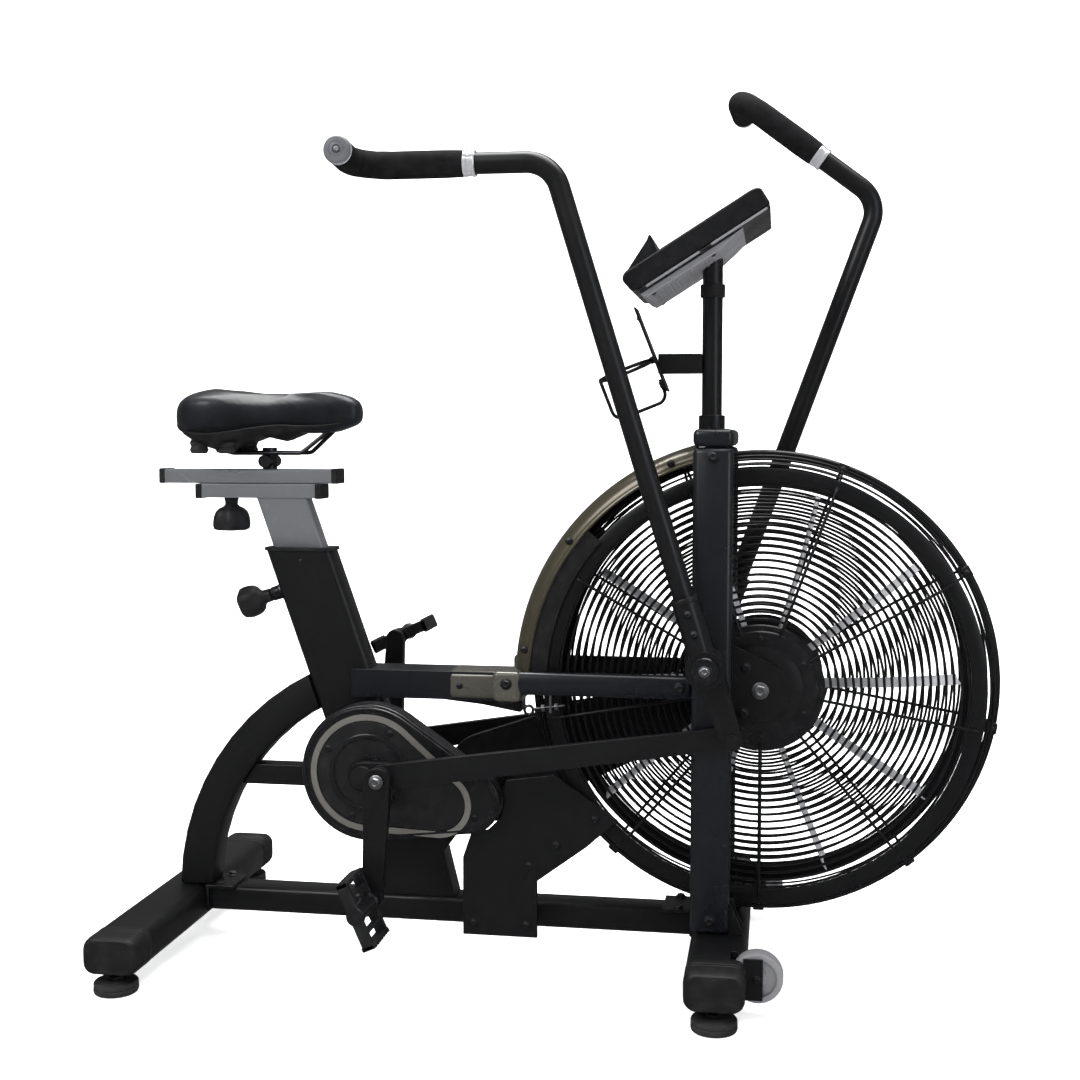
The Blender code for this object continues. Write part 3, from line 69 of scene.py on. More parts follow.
RECORD = frame["record"]
JOINTS = {joint["name"]: joint for joint in frame["joints"]}
RIGHT, LEFT = -1, 1
SIDES = (("right", RIGHT), ("left", LEFT))


def joint_at(name):
    return Vector(JOINTS[name]["pos_m"])


CRANK = joint_at("crank_spin")
JACK = joint_at("jackshaft_spin")
FAN = joint_at("fan_spin")
PIVOT = joint_at("right_arm_swing")


# ---------- materials ----------

class Nodes:
    """A short way to build one material's node tree."""

    def __init__(self, name, color, roughness, **sockets):
        self.material = bpy.data.materials.new(name)
        self.material.use_nodes = True
        self.tree = self.material.node_tree
        self.shader = self.tree.nodes["Principled BSDF"]
        self.shader.inputs["Base Color"].default_value = (*color, 1)
        self.shader.inputs["Roughness"].default_value = roughness
        for socket, value in sockets.items():
            self.shader.inputs[socket.replace("_", " ")].default_value = value
        self.where = self.node("ShaderNodeTexCoord").outputs["Object"]

    def node(self, kind, **inputs):
        made = self.tree.nodes.new(kind)
        for socket, value in inputs.items():
            self.set(made, socket.replace("_", " "), value)
        return made

    def set(self, node, socket, value):
        if isinstance(value, bpy.types.NodeSocket):
            self.tree.links.new(value, node.inputs[socket])
        else:
            node.inputs[socket].default_value = value

    def noise(self, scale, detail=3.0, stretch=None):
        where = self.where
        if stretch:
            where = self.node("ShaderNodeMapping", Vector=where, Scale=stretch).outputs["Vector"]
        return self.node("ShaderNodeTexNoise", Vector=where, Scale=scale, Detail=detail).outputs["Fac"]

    def cells(self, scale, feature="F1"):
        made = self.node("ShaderNodeTexVoronoi", Vector=self.where, Scale=scale)
        made.feature = feature
        return made.outputs["Distance"]

    def remap(self, value, low, high, out_low, out_high):
        made = self.node("ShaderNodeMapRange", Value=value, From_Min=low, From_Max=high, To_Min=out_low,
            To_Max=out_high)
        return made.outputs["Result"]

    def math(self, operation, a, b):
        made = self.tree.nodes.new("ShaderNodeMath")
        made.operation = operation
        for socket, value in enumerate((a, b)):
            self.set(made, socket, value)
        return made.outputs[0]

    def mix(self, factor, a, b):
        made = self.tree.nodes.new("ShaderNodeMix")
        made.data_type = "RGBA"
        self.set(made, 0, factor)
        for socket, value in ((6, a), (7, b)):
            self.set(made, socket, (*value, 1) if isinstance(value, tuple) else value)
        return made.outputs[2]

    def color(self, value):
        self.set(self.shader, "Base Color", value)

    def rough(self, value):
        self.set(self.shader, "Roughness", value)

    def bump(self, height, strength, distance, under=None):
        made = self.node("ShaderNodeBump", Height=height, Strength=strength, Distance=distance)
        if under is not None:
            self.set(made, "Normal", under)
        self.set(self.shader, "Normal", made.outputs["Normal"])
        return made.outputs["Normal"]


def coated(name, color, roughness, coat=0.0, metallic=0.0, peel=0.25, dust=0.01, variation=0.25, shine=0.5):
    """Powder coat or paint: orange peel, cloudy gloss and a trace of settled dust."""
    m = Nodes(name, color, roughness, Metallic=metallic, Coat_Weight=coat, Coat_Roughness=0.12,
        Specular_IOR_Level=shine)
    cloud = m.noise(9.0, 4.0)
    fine = m.noise(420.0, 2.0)
    m.rough(m.remap(cloud, 0.3, 0.7, roughness * (1 - variation), roughness * (1 + variation)))
    speck = m.remap(m.noise(160.0, 6.0), 0.6, 0.78, 0.0, 1.0)
    dusty = tuple(min(c + dust, 1.0) for c in color)
    m.color(m.mix(speck, color, dusty))
    m.bump(fine, peel, 0.0003)
    return m.material


def grained(name, color, roughness, scale=900.0, depth=0.35, dust=0.012, shine=0.45):
    """Moulded plastic with a fine spark-eroded grain."""
    m = Nodes(name, color, roughness, Specular_IOR_Level=shine)
    grain = m.cells(scale)
    cloud = m.noise(14.0, 3.0)
    m.rough(m.remap(cloud, 0.3, 0.7, roughness - 0.07, roughness + 0.07))
    lighter = tuple(min(c + dust, 1.0) for c in color)
    m.color(m.mix(m.remap(m.noise(60.0, 5.0), 0.45, 0.75, 0.0, 1.0), color, lighter))
    m.bump(grain, depth, 0.0003)
    return m.material


def metal(name, color, roughness, stretch=(1.0, 60.0, 1.0), brushed=0.25, metallic=1.0):
    m = Nodes(name, color, roughness, Metallic=metallic)
    lines = m.noise(22.0, 4.0, stretch)
    stain = m.noise(40.0, 5.0)
    darker = tuple(c * 0.72 for c in color)
    m.color(m.mix(m.remap(stain, 0.5, 0.8, 0.0, 0.6), color, darker))
    m.rough(m.remap(lines, 0.3, 0.7, roughness * 0.75, roughness * 1.35))
    m.bump(lines, brushed, 0.0002)
    return m.material


def foam(name):
    """Closed-cell foam: open pores, slight mottling, no gloss."""
    color = (0.003, 0.003, 0.0034)
    m = Nodes(name, color, 0.8, Specular_IOR_Level=0.09)
    pores = m.cells(850.0)
    lumps = m.noise(70.0, 5.0)
    m.color(m.mix(m.remap(lumps, 0.35, 0.7, 0.0, 1.0), color, (0.006, 0.006, 0.0066)))
    under = m.bump(lumps, 0.3, 0.0012)
    m.bump(pores, 0.55, 0.0006, under)
    return m.material


def vinyl(name, color, sheen=0.15, roughness=0.4):
    """Upholstery skin: a pebbled grain under a soft gloss, with bluer patches of painted sheen in its colour.
    """
    m = Nodes(name, color, roughness, Coat_Weight=0.12, Coat_Roughness=0.22, Sheen_Weight=sheen,
        Specular_IOR_Level=0.26)
    pebble = m.cells(520.0, "SMOOTH_F1")
    crease = m.noise(26.0, 6.0)
    m.rough(m.remap(crease, 0.3, 0.7, roughness - 0.06, roughness + 0.1))
    # Bluer, lighter patches where the crease noise is high: painted sheen.
    painted_blue_sheen = (color[0] * 1.5, color[1] * 1.7, color[2] * 2.1)
    m.color(m.mix(m.remap(crease, 0.4, 0.75, 0.0, 1.0), color, painted_blue_sheen))
    under = m.bump(crease, 0.1, 0.001)
    m.bump(pebble, 0.28, 0.0004, under)
    return m.material


def rubber(name, color=(0.0085, 0.0085, 0.0088)):
    m = Nodes(name, color, 0.78)
    scuff = m.noise(45.0, 6.0)
    m.color(m.mix(m.remap(scuff, 0.5, 0.8, 0.0, 1.0), color, tuple(c + 0.012 for c in color)))
    m.rough(m.remap(scuff, 0.3, 0.7, 0.66, 0.9))
    m.bump(m.noise(600.0, 2.0), 0.4, 0.0004)
    return m.material


def glass_screen(name):
    m = Nodes(name, (0.03, 0.036, 0.034), 0.24, Coat_Weight=0.15, Coat_Roughness=0.12, Specular_IOR_Level=0.2)
    smear = m.noise(18.0, 5.0)
    m.rough(m.remap(smear, 0.3, 0.7, 0.2, 0.32))
    m.color(m.mix(m.remap(smear, 0.4, 0.7, 0.0, 1.0), (0.028, 0.034, 0.032), (0.04, 0.047, 0.044)))
    return m.material


MAT = {
    "frame": coated("powder_black", (0.0042, 0.0043, 0.0048), 0.36, 0.06, 0.0, 0.22, 0.003, 0.25, 0.24),
    # Masts, top tube and side bars: the frame's black coat, a little glossier, with a blue tint in its colour
    # that is painted sheen.
    "mast": coated("powder_black_painted_blue_sheen", (0.005, 0.0056, 0.0074), 0.3, 0.1, 0.0, 0.2, 0.004, 0.25, 0.32),
    "wire": coated("wire_black", (0.0036, 0.0037, 0.0042), 0.34, 0.05, 0.0, 0.12, 0.002, 0.25, 0.22),
    "olive": coated("gunmetal_olive", (0.06, 0.053, 0.035), 0.3, 0.35, 0.65, 0.1, 0.006),
    # The frame's black coat made lighter and olive: painted light for the top tube's lit front end, its
    # sleeve and knuckles.
    "lit": coated("powder_black_painted_lit", (0.062, 0.059, 0.049), 0.26, 0.35, 0.35, 0.12, 0.008),
    "silver": coated("silver_paint", (0.098, 0.101, 0.108), 0.34, 0.1, 0.3, 0.3, 0.025),
    "inlay": coated("silver_inlay", (0.12, 0.116, 0.106), 0.32, 0.1, 0.4, 0.15, 0.02),
    "steel": metal("bright_steel", (0.56, 0.56, 0.57), 0.26),
    "chrome": metal("chrome", (0.6, 0.6, 0.62), 0.16, (1.0, 20.0, 1.0), 0.05, 0.7),
    "bolt": metal("bolt_zinc", (0.42, 0.42, 0.43), 0.34, (8.0, 8.0, 8.0), 0.2),
    "bolt_dark": metal("bolt_black", (0.07, 0.07, 0.075), 0.38, (8.0, 8.0, 8.0), 0.25),
    "blade": coated("blade_sheet", (0.42, 0.42, 0.44), 0.45, 0.1, 0.15, 0.15, 0.03),
    "plastic": grained("plastic_black", (0.0062, 0.0062, 0.007), 0.46, 900.0, 0.35, 0.005, 0.24),
    "gloss": grained("plastic_gloss", (0.0048, 0.0048, 0.0055), 0.28, 400.0, 0.1, 0.003, 0.28),
    "cap": grained("cap_black", (0.0052, 0.0052, 0.0057), 0.5, 700.0, 0.45, 0.005, 0.22),
    "console": grained("console_grey", (0.12, 0.12, 0.128), 0.46, 900.0, 0.12, 0.006, 0.22),
    "plug": grained("plug_grey", (0.062, 0.064, 0.07), 0.38),
    "wheel": grained("wheel_grey", (0.13, 0.13, 0.136), 0.48),
    "foam": foam("foam_black"),
    "vinyl": vinyl("saddle_vinyl", (0.0028, 0.003, 0.0042), 0.02),
    "rubber": rubber("rubber_black"),
    "belt": rubber("belt_black", (0.009, 0.009, 0.0095)),
    "screen": glass_screen("screen_glass"),
}

SLOT_LOOK = {"frame_black": "frame", "plastic_black": "plastic", "fender_olive": "olive",
    "cage_black": "wire", "silver_paint": "silver", "steel": "steel", "blade_grey": "blade",
    "foam_black": "foam", "saddle_black": "vinyl", "rubber_black": "belt", "wheel_grey": "wheel",
    "console_grey": "console"}
SLOT_OF = {mat: slot for slot, mat in SLOT_LOOK.items()}
SLOT_OF.update(mast="frame_black", lit="frame_black", gloss="plastic_black", cap="plastic_black",
               inlay="silver_paint", screen="console_grey", plug="console_grey", rubber="rubber_black")


# ---------- mesh helpers ----------

def piece(name, bm, mat, body="frame", replaces=(), bevel=0.0, segments=2, sharp=35):
    """Turns a bmesh into an object that rides on a body."""
    bmesh.ops.recalc_face_normals(bm, faces=bm.faces)
    mesh = bpy.data.meshes.new(name)
    bm.to_mesh(mesh)
    bm.free()
    mesh.materials.append(MAT[mat])
    mesh.shade_smooth()
    mesh.set_sharp_from_angle(angle=math.radians(sharp))
    obj = bpy.data.objects.new(name, mesh)
    bpy.context.scene.collection.objects.link(obj)
    if bevel:
        rounding(obj, bevel, segments)
    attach(obj, body)
    if replaces:
        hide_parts(*replaces)
    return obj


def rounding(obj, width, segments):
    mod = obj.modifiers.new("round", "BEVEL")
    mod.width = width
    mod.segments = segments
    mod.limit_method = "ANGLE"
    mod.angle_limit = math.radians(32)
    mod.harden_normals = True
    mod.miter_outer = "MITER_ARC"


def polished(node, mat, width, segments=2):
    """The CAD node's own shape with rounded edges, in its place."""
    source = NODES[node]
    bm = bmesh.new()
    bm.from_mesh(source.data)
    bmesh.ops.remove_doubles(bm, verts=bm.verts, dist=0.00002)
    bmesh.ops.dissolve_limit(bm, angle_limit=math.radians(0.6), verts=bm.verts, edges=bm.edges)
    piece(node + "_finish", bm, mat, source["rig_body"], (node,), width, segments)


def shape(maker, *values, **named):
    """A new bmesh that holds one shape."""
    bm = bmesh.new()
    maker(bm, *values, **named)
    return bm


def loft(bm, rows, closed=False):
    """Joins rows of vertices that each run round a section, in a loop or with a cap on both ends."""
    pairs = list(zip(rows, rows[1:])) + ([(rows[-1], rows[0])] if closed else [])
    for row, after in pairs:
        for k in range(len(row)):
            n = (k + 1) % len(row)
            bm.faces.new((row[k], row[n], after[n], after[k]))
    if not closed:
        bm.faces.new(rows[0][::-1])
        bm.faces.new(rows[-1])


def sweep(bm, points, profile, closed=False, up=None, scale=None):
    """Carries a closed profile of (across, out) points along a path."""
    points = [Vector(p) for p in points]
    count = len(points)
    rows = []
    normal = Vector(up) if up else None
    for i, point in enumerate(points):
        before = points[i - 1] if closed or i > 0 else point
        after = points[(i + 1) % count] if closed or i < count - 1 else point
        along = (after - before).normalized()
        if normal is None:
            normal = along.orthogonal().normalized()
        normal = (normal - along * normal.dot(along)).normalized()
        across = along.cross(normal)
        grow = scale[i] if scale else 1.0
        rows.append([bm.verts.new(point + (across * a + normal * b) * grow) for a, b in profile])
    loft(bm, rows, closed)


def tube(bm, points, radius, sides=16, closed=False, scale=None):
    sweep(bm, points, circle((0, 0), radius, sides), closed, None, scale)


def ring(bm, centre, big, small, steps=96, sides=8):
    """A wire ring in a plane across Y."""
    rows = []
    for i in range(steps):
        a = 2 * math.pi * i / steps
        out = Vector((math.cos(a), 0, math.sin(a)))
        rows.append([bm.verts.new(Vector(centre) + out * (big + x) + Vector((0, y, 0))) for x,
            y in circle((0, 0), small, sides)])
    loft(bm, rows, True)


def lathe(bm, origin, axis, profile, steps=32, lobes=0, lobe=0.0):
    """Turns (radius, height) points about an axis; ends close at radius 0 or where they meet."""
    origin, axis = Vector(origin), Vector(axis).normalized()
    side = axis.orthogonal().normalized()
    other = axis.cross(side)
    meets = profile[0] == profile[-1]
    rows = []
    for r, h in profile[:-1] if meets else profile:
        if r <= 0:
            rows.append([bm.verts.new(origin + axis * h)])
            continue
        row = []
        for i in range(steps):
            a = 2 * math.pi * i / steps
            reach = r * (1 + lobe * math.cos(lobes * a))
            row.append(bm.verts.new(origin + axis * h + (side * math.cos(a) + other * math.sin(a)) * reach))
        rows.append(row)
    if meets:
        rows.append(rows[0])
    for row, after in zip(rows, rows[1:]):
        if len(row) == 1 and len(after) == 1:
            continue
        for i in range(steps):
            n = (i + 1) % steps
            if len(row) == 1:
                bm.faces.new((row[0], after[n], after[i]))
            elif len(after) == 1:
                bm.faces.new((row[i], row[n], after[0]))
            else:
                bm.faces.new((row[i], row[n], after[n], after[i]))


def prism(bm, outline, low, high, holes=()):
    """A flat plate across Y with its outline in x and z, and holes of the same kind."""
    edges = []
    for loop in (outline, *holes):
        verts = [bm.verts.new((x, low, z)) for x, z in loop]
        edges += [bm.edges.new((a, b)) for a, b in zip(verts, verts[1:] + verts[:1])]
    made = bmesh.ops.triangle_fill(bm, use_beauty=True, use_dissolve=True, edges=edges)
    faces = [g for g in made["geom"] if isinstance(g, bmesh.types.BMFace)]
    moved = bmesh.ops.extrude_face_region(bm, geom=faces)
    verts = [g for g in moved["geom"] if isinstance(g, bmesh.types.BMVert)]
    bmesh.ops.translate(bm, vec=(0, high - low, 0), verts=verts)


def block(bm, one, other, matrix=None):
    """A box between two opposite corners."""
    verts = bmesh.ops.create_cube(bm, size=1.0)["verts"]
    bmesh.ops.scale(bm, vec=[abs(b - a) for a, b in zip(one, other)], verts=verts)
    bmesh.ops.translate(bm, vec=[(a + b) / 2 for a, b in zip(one, other)], verts=verts)
    if matrix is not None:
        bmesh.ops.transform(bm, matrix=matrix, verts=verts)


def turned(at, degrees):
    """A frame at a point, turned about Y."""
    return Matrix.Translation(at) @ Matrix.Rotation(math.radians(degrees), 4, "Y")


def polar(x, z, radius, degrees):
    a = math.radians(degrees)
    return (x + radius * math.cos(a), z + radius * math.sin(a))


def circle(at, radius, steps=24):
    return [polar(*at, radius, 360 * i / steps) for i in range(steps)]


def rounded_box(wide, tall, corner):
    """The outline of a box with round corners, from its half width and half height."""
    points = []
    for x, z, first in ((1, 1, 0), (-1, 1, 90), (-1, -1, 180), (1, -1, 270)):
        points += [polar(x * (wide - corner), z * (tall - corner), corner, first + 18 * k) for k in range(6)]
    return points


def strap(a, ra, b, rb, steps=24):
    """The outline of a strap round two circles in x and z."""
    heading = math.degrees(math.atan2(b[1] - a[1], b[0] - a[0]))
    spread = math.degrees(math.acos((ra - rb) / math.hypot(b[0] - a[0], b[1] - a[1])))
    points = [polar(*a, ra, heading + spread + (360 - 2 * spread) * i / steps) for i in range(steps + 1)]
    return points + [polar(*b, rb, heading - spread + 2 * spread * i / steps) for i in range(steps + 1)]


def bent(points, radius, steps=10):
    """A path whose inner corners are arcs of one radius."""
    points = [Vector(p) for p in points]
    path = [points[0]]
    for before, corner, after in zip(points, points[1:], points[2:]):
        u, v = (before - corner).normalized(), (after - corner).normalized()
        half = u.angle(v) / 2
        centre = corner + (u + v).normalized() * (radius / math.sin(half))
        spoke = corner + u * radius / math.tan(half) - centre
        turn = math.pi - 2 * half
        path += [centre + Quaternion(v.cross(u), turn * i / steps) @ spoke for i in range(steps + 1)]
    return path + [points[-1]]


def outward(points, y, sides=(RIGHT, LEFT)):
    """Places for bolts at points in x and z, facing away from the middle plane."""
    return [((x, side * y, z), (0, side, 0)) for x, z in points for side in sides]


HEX_HEAD = ((0, 0.2), (1, 0.2), (1, 0.86), (0.86, 1), (0.5, 1), (0.42, 0.9), (0, 0.9))
DOME_HEAD = ((0, 0.2), (1, 0.2), (1, 0.5), (0.88, 0.8), (0.62, 0.97), (0.46, 1), (0.44, 0.55), (0, 0.55))
WASHER = ((0, 0), (1.35, 0), (1.35, 0.22), (1.25, 0.28), (0, 0.28))


def bolts(name, places, radius, height, body="frame", mat="bolt", head=HEX_HEAD):
    """Bolt heads on washers: places are (position, axis)."""
    bm = bmesh.new()
    for at, axis in places:
        for profile, steps in ((WASHER, 24), (head, 6 if head is HEX_HEAD else 24)):
            lathe(bm, at, axis, [(r * radius, h * height) for r, h in profile], steps)
    piece(name, bm, mat, body, bevel=0.0003, segments=1)


def screws(name, places, radius, height, body="frame", mat="bolt_dark"):
    bolts(name, places, radius, height, body, mat, DOME_HEAD)


# ---------- cage, fan and fender ----------

FAN_AT = Vector((FAN.x, 0, FAN.z))
CAGE_Y = 0.0605              # the ring wires' plane on each side
CAGE_RIM = 0.329
SPOKE_TURNS = [70.0 + 40.0 * i for i in range(9)]
RING_FIRST = 0.0975
RING_LAST = 0.286
RING_COUNT = 19
WIRE = 0.002


def cage_side(word, side):
    bm = bmesh.new()
    for i in range(RING_COUNT):
        r = RING_FIRST + (RING_LAST - RING_FIRST) * i / (RING_COUNT - 1)
        ring(bm, (FAN.x, side * CAGE_Y, FAN.z), r, WIRE, 112, 6)
    for r, depth in ((0.315, 0.008), (0.3215, 0.02)):
        ring(bm, (FAN.x, side * (CAGE_Y - depth), FAN.z), r, 0.0016, 112, 6)
    piece(f"cage_rings_{word}", bm, "wire")
    bm = bmesh.new()
    for degrees in SPOKE_TURNS:
        corners = []
        for reach, y in ((0.078, 0.0636), (0.3, 0.0636), (0.3185, 0.036), (0.3275, 0.006)):
            x, z = polar(FAN.x, FAN.z, reach, degrees)
            corners.append((x, side * y, z))
        tube(bm, bent(corners, 0.01, 4), 0.0022, 8)
    piece(f"cage_spokes_{word}", bm, "wire")
    band = [(0.2885, 0.0588), (0.2885, 0.0616), (0.2905, 0.0624), (0.307, 0.0624), (0.31, 0.0606), (0.31,
        0.0588), (0.2885, 0.0588)]
    piece(f"cage_band_{word}", shape(lathe, FAN_AT, (0, side, 0), band, 128), "wire")
    disc = [(0.0195, 0.059), (0.0885, 0.059), (0.09, 0.06), (0.09, 0.0618), (0.0885, 0.0632), (0.085,
        0.0632), (0.0835, 0.0626), (0.081, 0.0626), (0.0795, 0.064), (0.062, 0.0652), (0.0605, 0.0645),
        (0.0585, 0.0645), (0.057, 0.0655), (0.03, 0.066), (0.0195, 0.066), (0.0195, 0.059)]
    piece(f"cage_disc_{word}", shape(lathe, FAN_AT, (0, side, 0), disc, 96), "gloss")
    heads = [polar(FAN.x, FAN.z, 0.07, 30 + 60 * i) for i in range(6)]
    screws(f"cage_disc_screws_{word}", outward(heads, 0.0644, (side,)), 0.0032, 0.0016)


def cage_rim():
    bm = shape(ring, FAN_AT, CAGE_RIM, 0.0058, 144, 12)
    for side in (RIGHT, LEFT):
        ring(bm, (FAN.x, side * 0.0125, FAN.z), CAGE_RIM - 0.0035, 0.0024, 128, 6)
    piece("cage_rim", bm, "wire", replaces=("cage_right", "cage_left"))
    bm = bmesh.new()
    for degrees in SPOKE_TURNS:
        block(bm, (0.3205, -0.0165, -0.008), (0.3345, 0.0165, 0.008), turned(FAN_AT, -degrees))
    piece("cage_clips", bm, "cap", bevel=0.0018)
    heads = [polar(FAN.x, FAN.z, 0.3275, degrees) for degrees in SPOKE_TURNS]
    screws("cage_clip_screws", outward(heads, 0.0163), 0.0028, 0.0022)


def cage_mounts():
    """Straps that carry the cage's rim from the masts."""
    bm = bmesh.new()
    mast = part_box("mast_right")[1][0]
    for side in (RIGHT, LEFT):
        block(bm, (mast - 0.03, side * 0.0835, 0.098), (mast + 0.006, side * 0.0875, 0.122))
        block(bm, (mast + 0.002, side * 0.012, 0.098), (mast + 0.006, side * 0.087, 0.122))
        block(bm, (mast + 0.002, side * 0.008, 0.085), (mast + 0.014, side * 0.017, 0.122))
    piece("cage_mount_straps", bm, "frame", bevel=0.0012)


def blade_rows(degrees):
    """One paddle: a strip of points across the fan's width, swept from hub to tip with a slight scoop."""
    turn = math.radians(degrees)
    out = Vector((math.cos(turn), 0, math.sin(turn)))
    lead = Vector((-math.sin(turn), 0, math.cos(turn)))
    rows = []
    for i in range(9):
        t = i / 8
        r = 0.064 + 0.215 * t
        half = 0.0415 - 0.004 * (1 - t)
        row = []
        for j in range(9):
            across = -1 + 2 * j / 8
            cup = 0.0045 * (1 - across * across)
            row.append(FAN_AT + out * r + lead * (0.01 * t ** 2 - cup) + Vector((0, across * half, 0)))
        rows.append(row)
    return rows


def fan_wheel():
    bm = bmesh.new()
    for i in range(10):
        rows = [[bm.verts.new(p) for p in row] for row in blade_rows(36 * i)]
        for row, after in zip(rows, rows[1:]):
            for corners in zip(row, row[1:], after[1:], after):
                bm.faces.new(corners)
    blades = piece("fan_blades", bm, "blade", "fan")
    thick = blades.modifiers.new("sheet", "SOLIDIFY")
    thick.thickness = 0.0016
    thick.offset = 0
    bm = shape(lathe, FAN_AT, (0, 1, 0), [(0.055, -0.0395), (0.057, -0.0395), (0.057, 0.0395), (0.055,
        0.0395), (0.055, -0.0395)], 72)
    for side in (RIGHT, LEFT):
        lathe(bm, FAN_AT, (0, side, 0), [(0.0102, 0.03), (0.019, 0.03), (0.019, 0.037), (0.023, 0.0385),
            (0.069, 0.0395), (0.072, 0.0405), (0.072, 0.042), (0.068, 0.0415), (0.024, 0.0405), (0.02,
            0.041), (0.015, 0.044), (0.0102, 0.044), (0.0102, 0.03)], 72)
    piece("fan_hub", bm, "blade", "fan", replaces=("fan_wheel",))
    heads = [polar(FAN.x, FAN.z, 0.0665, 36 * i + 7) for i in range(10)]
    screws("fan_rivets", outward(heads, 0.0412), 0.003, 0.0022, "fan", "bolt")


FENDER_OUTER = 0.355
FENDER_INNER = 0.3305
FENDER_HALF = 0.0685         # half of its width
FENDER_FIRST = 105.6         # degrees round the fan
FENDER_LAST = 177.3
SKIRT_FIRST = 138.0


def fender_arch(grow):
    """Half of the section: a side that leans in and rolls over into the flat top."""
    rise = FENDER_OUTER - FENDER_INNER
    return [(-FENDER_HALF + grow + (rise + 0.01) * (1 - math.cos(math.radians(a))),
        FENDER_INNER + (rise - grow) * math.sin(math.radians(a))) for a in range(0, 91, 10)]


def fender():
    profile, inside = fender_arch(0), fender_arch(0.0022)
    profile += [(-y, r) for y, r in profile[::-1]]
    inside += [(-y, r) for y, r in inside[::-1]]
    turns = [FENDER_FIRST + (FENDER_LAST - FENDER_FIRST) * i / 72 for i in range(73)]
    bm = bmesh.new()
    rows = []
    for degrees in turns:
        row = []
        for y, r in profile + inside[::-1]:
            x, z = polar(FAN.x, FAN.z, r, degrees)
            row.append(bm.verts.new((x, y, z)))
        rows.append(row)
    loft(bm, rows)
    piece("fender_shell", bm, "olive", replaces=("fender",), sharp=40)
    beads, skirts = bmesh.new(), bmesh.new()
    edge = [polar(FAN.x, FAN.z, FENDER_INNER + 0.001, degrees) for degrees in turns]
    turns = [SKIRT_FIRST + (FENDER_LAST - SKIRT_FIRST) * i / 40 for i in range(41)]
    skirt = [polar(FAN.x, FAN.z, FENDER_INNER + 0.001, degrees) for degrees in turns]
    skirt += [polar(FAN.x, FAN.z, FENDER_INNER - 0.026, degrees) for degrees in turns[::-1]]
    for side in (RIGHT, LEFT):
        tube(beads, [(x, side * (FENDER_HALF - 0.001), z) for x, z in edge], 0.0026, 8)
        prism(skirts, skirt, side * 0.0645, side * 0.066)
    piece("fender_beads", beads, "olive")
    piece("fender_skirts", skirts, "cap")
    heads = [polar(FAN.x, FAN.z, 0.34, degrees) for degrees in (112, 143, 172)]
    screws("fender_screws", outward(heads, FENDER_HALF - 0.0002), 0.004, 0.003)


# ---------- drive covers ----------

def offset_strap(crank_r, tail, tail_r):
    return strap((CRANK.x, CRANK.z), crank_r, tail, tail_r, 40)


def chain_guard():
    tail = (JACK.x, JACK.z)
    near = (CRANK.x + 0.105, CRANK.z - 0.043)
    piece("guard_back", shape(prism, offset_strap(0.1, tail, 0.046), -0.08, -0.0605), "plastic", bevel=0.0015)
    piece("guard_shell", shape(prism, offset_strap(0.1008, tail, 0.0468), -0.095, -0.0804), "gloss",
        replaces=("chain_guard",), bevel=0.0045, segments=4)
    rim = [(x, -0.0949, z) for x, z in offset_strap(0.0945, tail, 0.0405)]
    piece("guard_rim", shape(tube, rim, 0.0022, 10, closed=True), "gloss")
    inlay = shape(prism, offset_strap(0.0862, near, 0.0482), -0.0964, -0.0935, [offset_strap(0.0772, near,
        0.0392)])
    piece("guard_inlay", inlay, "inlay", bevel=0.0006)
    piece("guard_face", shape(prism, offset_strap(0.0755, near, 0.0375), -0.096, -0.093), "plastic",
        bevel=0.0012)
    bm = bmesh.new()
    lathe(bm, (CRANK.x, 0, CRANK.z), (0, -1, 0), [(0.05, 0.0955), (0.05, 0.0972), (0.0515, 0.0982), (0.054,
        0.0985), (0.0565, 0.0982), (0.058, 0.0972), (0.058, 0.0955), (0.05, 0.0955)], 96)
    lathe(bm, (CRANK.x, 0, CRANK.z), (0, -1, 0), [(0.0135, 0.095), (0.0135, 0.098), (0.015, 0.0985), (0.024,
        0.0985), (0.027, 0.0975), (0.028, 0.0955), (0.0135, 0.095)], 64)
    piece("guard_rings", bm, "gloss")
    heads = [polar(CRANK.x, CRANK.z, 0.068, degrees) for degrees in (150, 250, 60)]
    heads += [(JACK.x + 0.01, JACK.z - 0.022), (JACK.x + 0.004, JACK.z + 0.03)]
    screws("guard_screws", outward(heads, 0.0958, (RIGHT,)), 0.004, 0.002)


def belt_case():
    """The left cover, pressed with a raised middle and a seam round it."""
    a, b = (JACK.x, JACK.z), (FAN.x, FAN.z)
    hole = [circle(b, 0.013)]
    piece("belt_case_back", shape(prism, strap(a, 0.0695, b, 0.0395, 32), 0.0672, 0.0745, hole), "plastic",
        bevel=0.001)
    piece("belt_case_shell", shape(prism, strap(a, 0.07, b, 0.04, 32), 0.0749, 0.081, hole), "gloss",
        replaces=("belt_case",), bevel=0.003, segments=3)
    path = [(x, 0.0808, z) for x, z in strap(a, 0.058, (b[0] - 0.075, b[1] - 0.026), 0.023, 24)]
    piece("belt_case_bead", shape(tube, path, 0.0014, 8, closed=True), "gloss")
    heads = [polar(*a, 0.063, degrees) for degrees in (215, 305, 95)] + [(0.1, 0.385), (0.12, 0.318)]
    screws("belt_case_screws", outward(heads, 0.0806, (LEFT,)), 0.0038, 0.0018)


# ---------- crank, rods and pedals ----------

LEVER_LENGTH = 0.105
LEVER_BEND = 3.0
LEAN = {"right": -17.166, "left": 19.772}     # degrees that each handle leans from upright
PEDAL_TILT = {"right": 66.0, "left": -24.0}
PEDAL_Y = 0.212


def lever_pin(word):
    """The pin's centre at the foot of the handle's lever."""
    x, z = polar(PIVOT.x, PIVOT.z, LEVER_LENGTH, 270 - LEAN[word] + LEVER_BEND)
    return (x, 0, z)


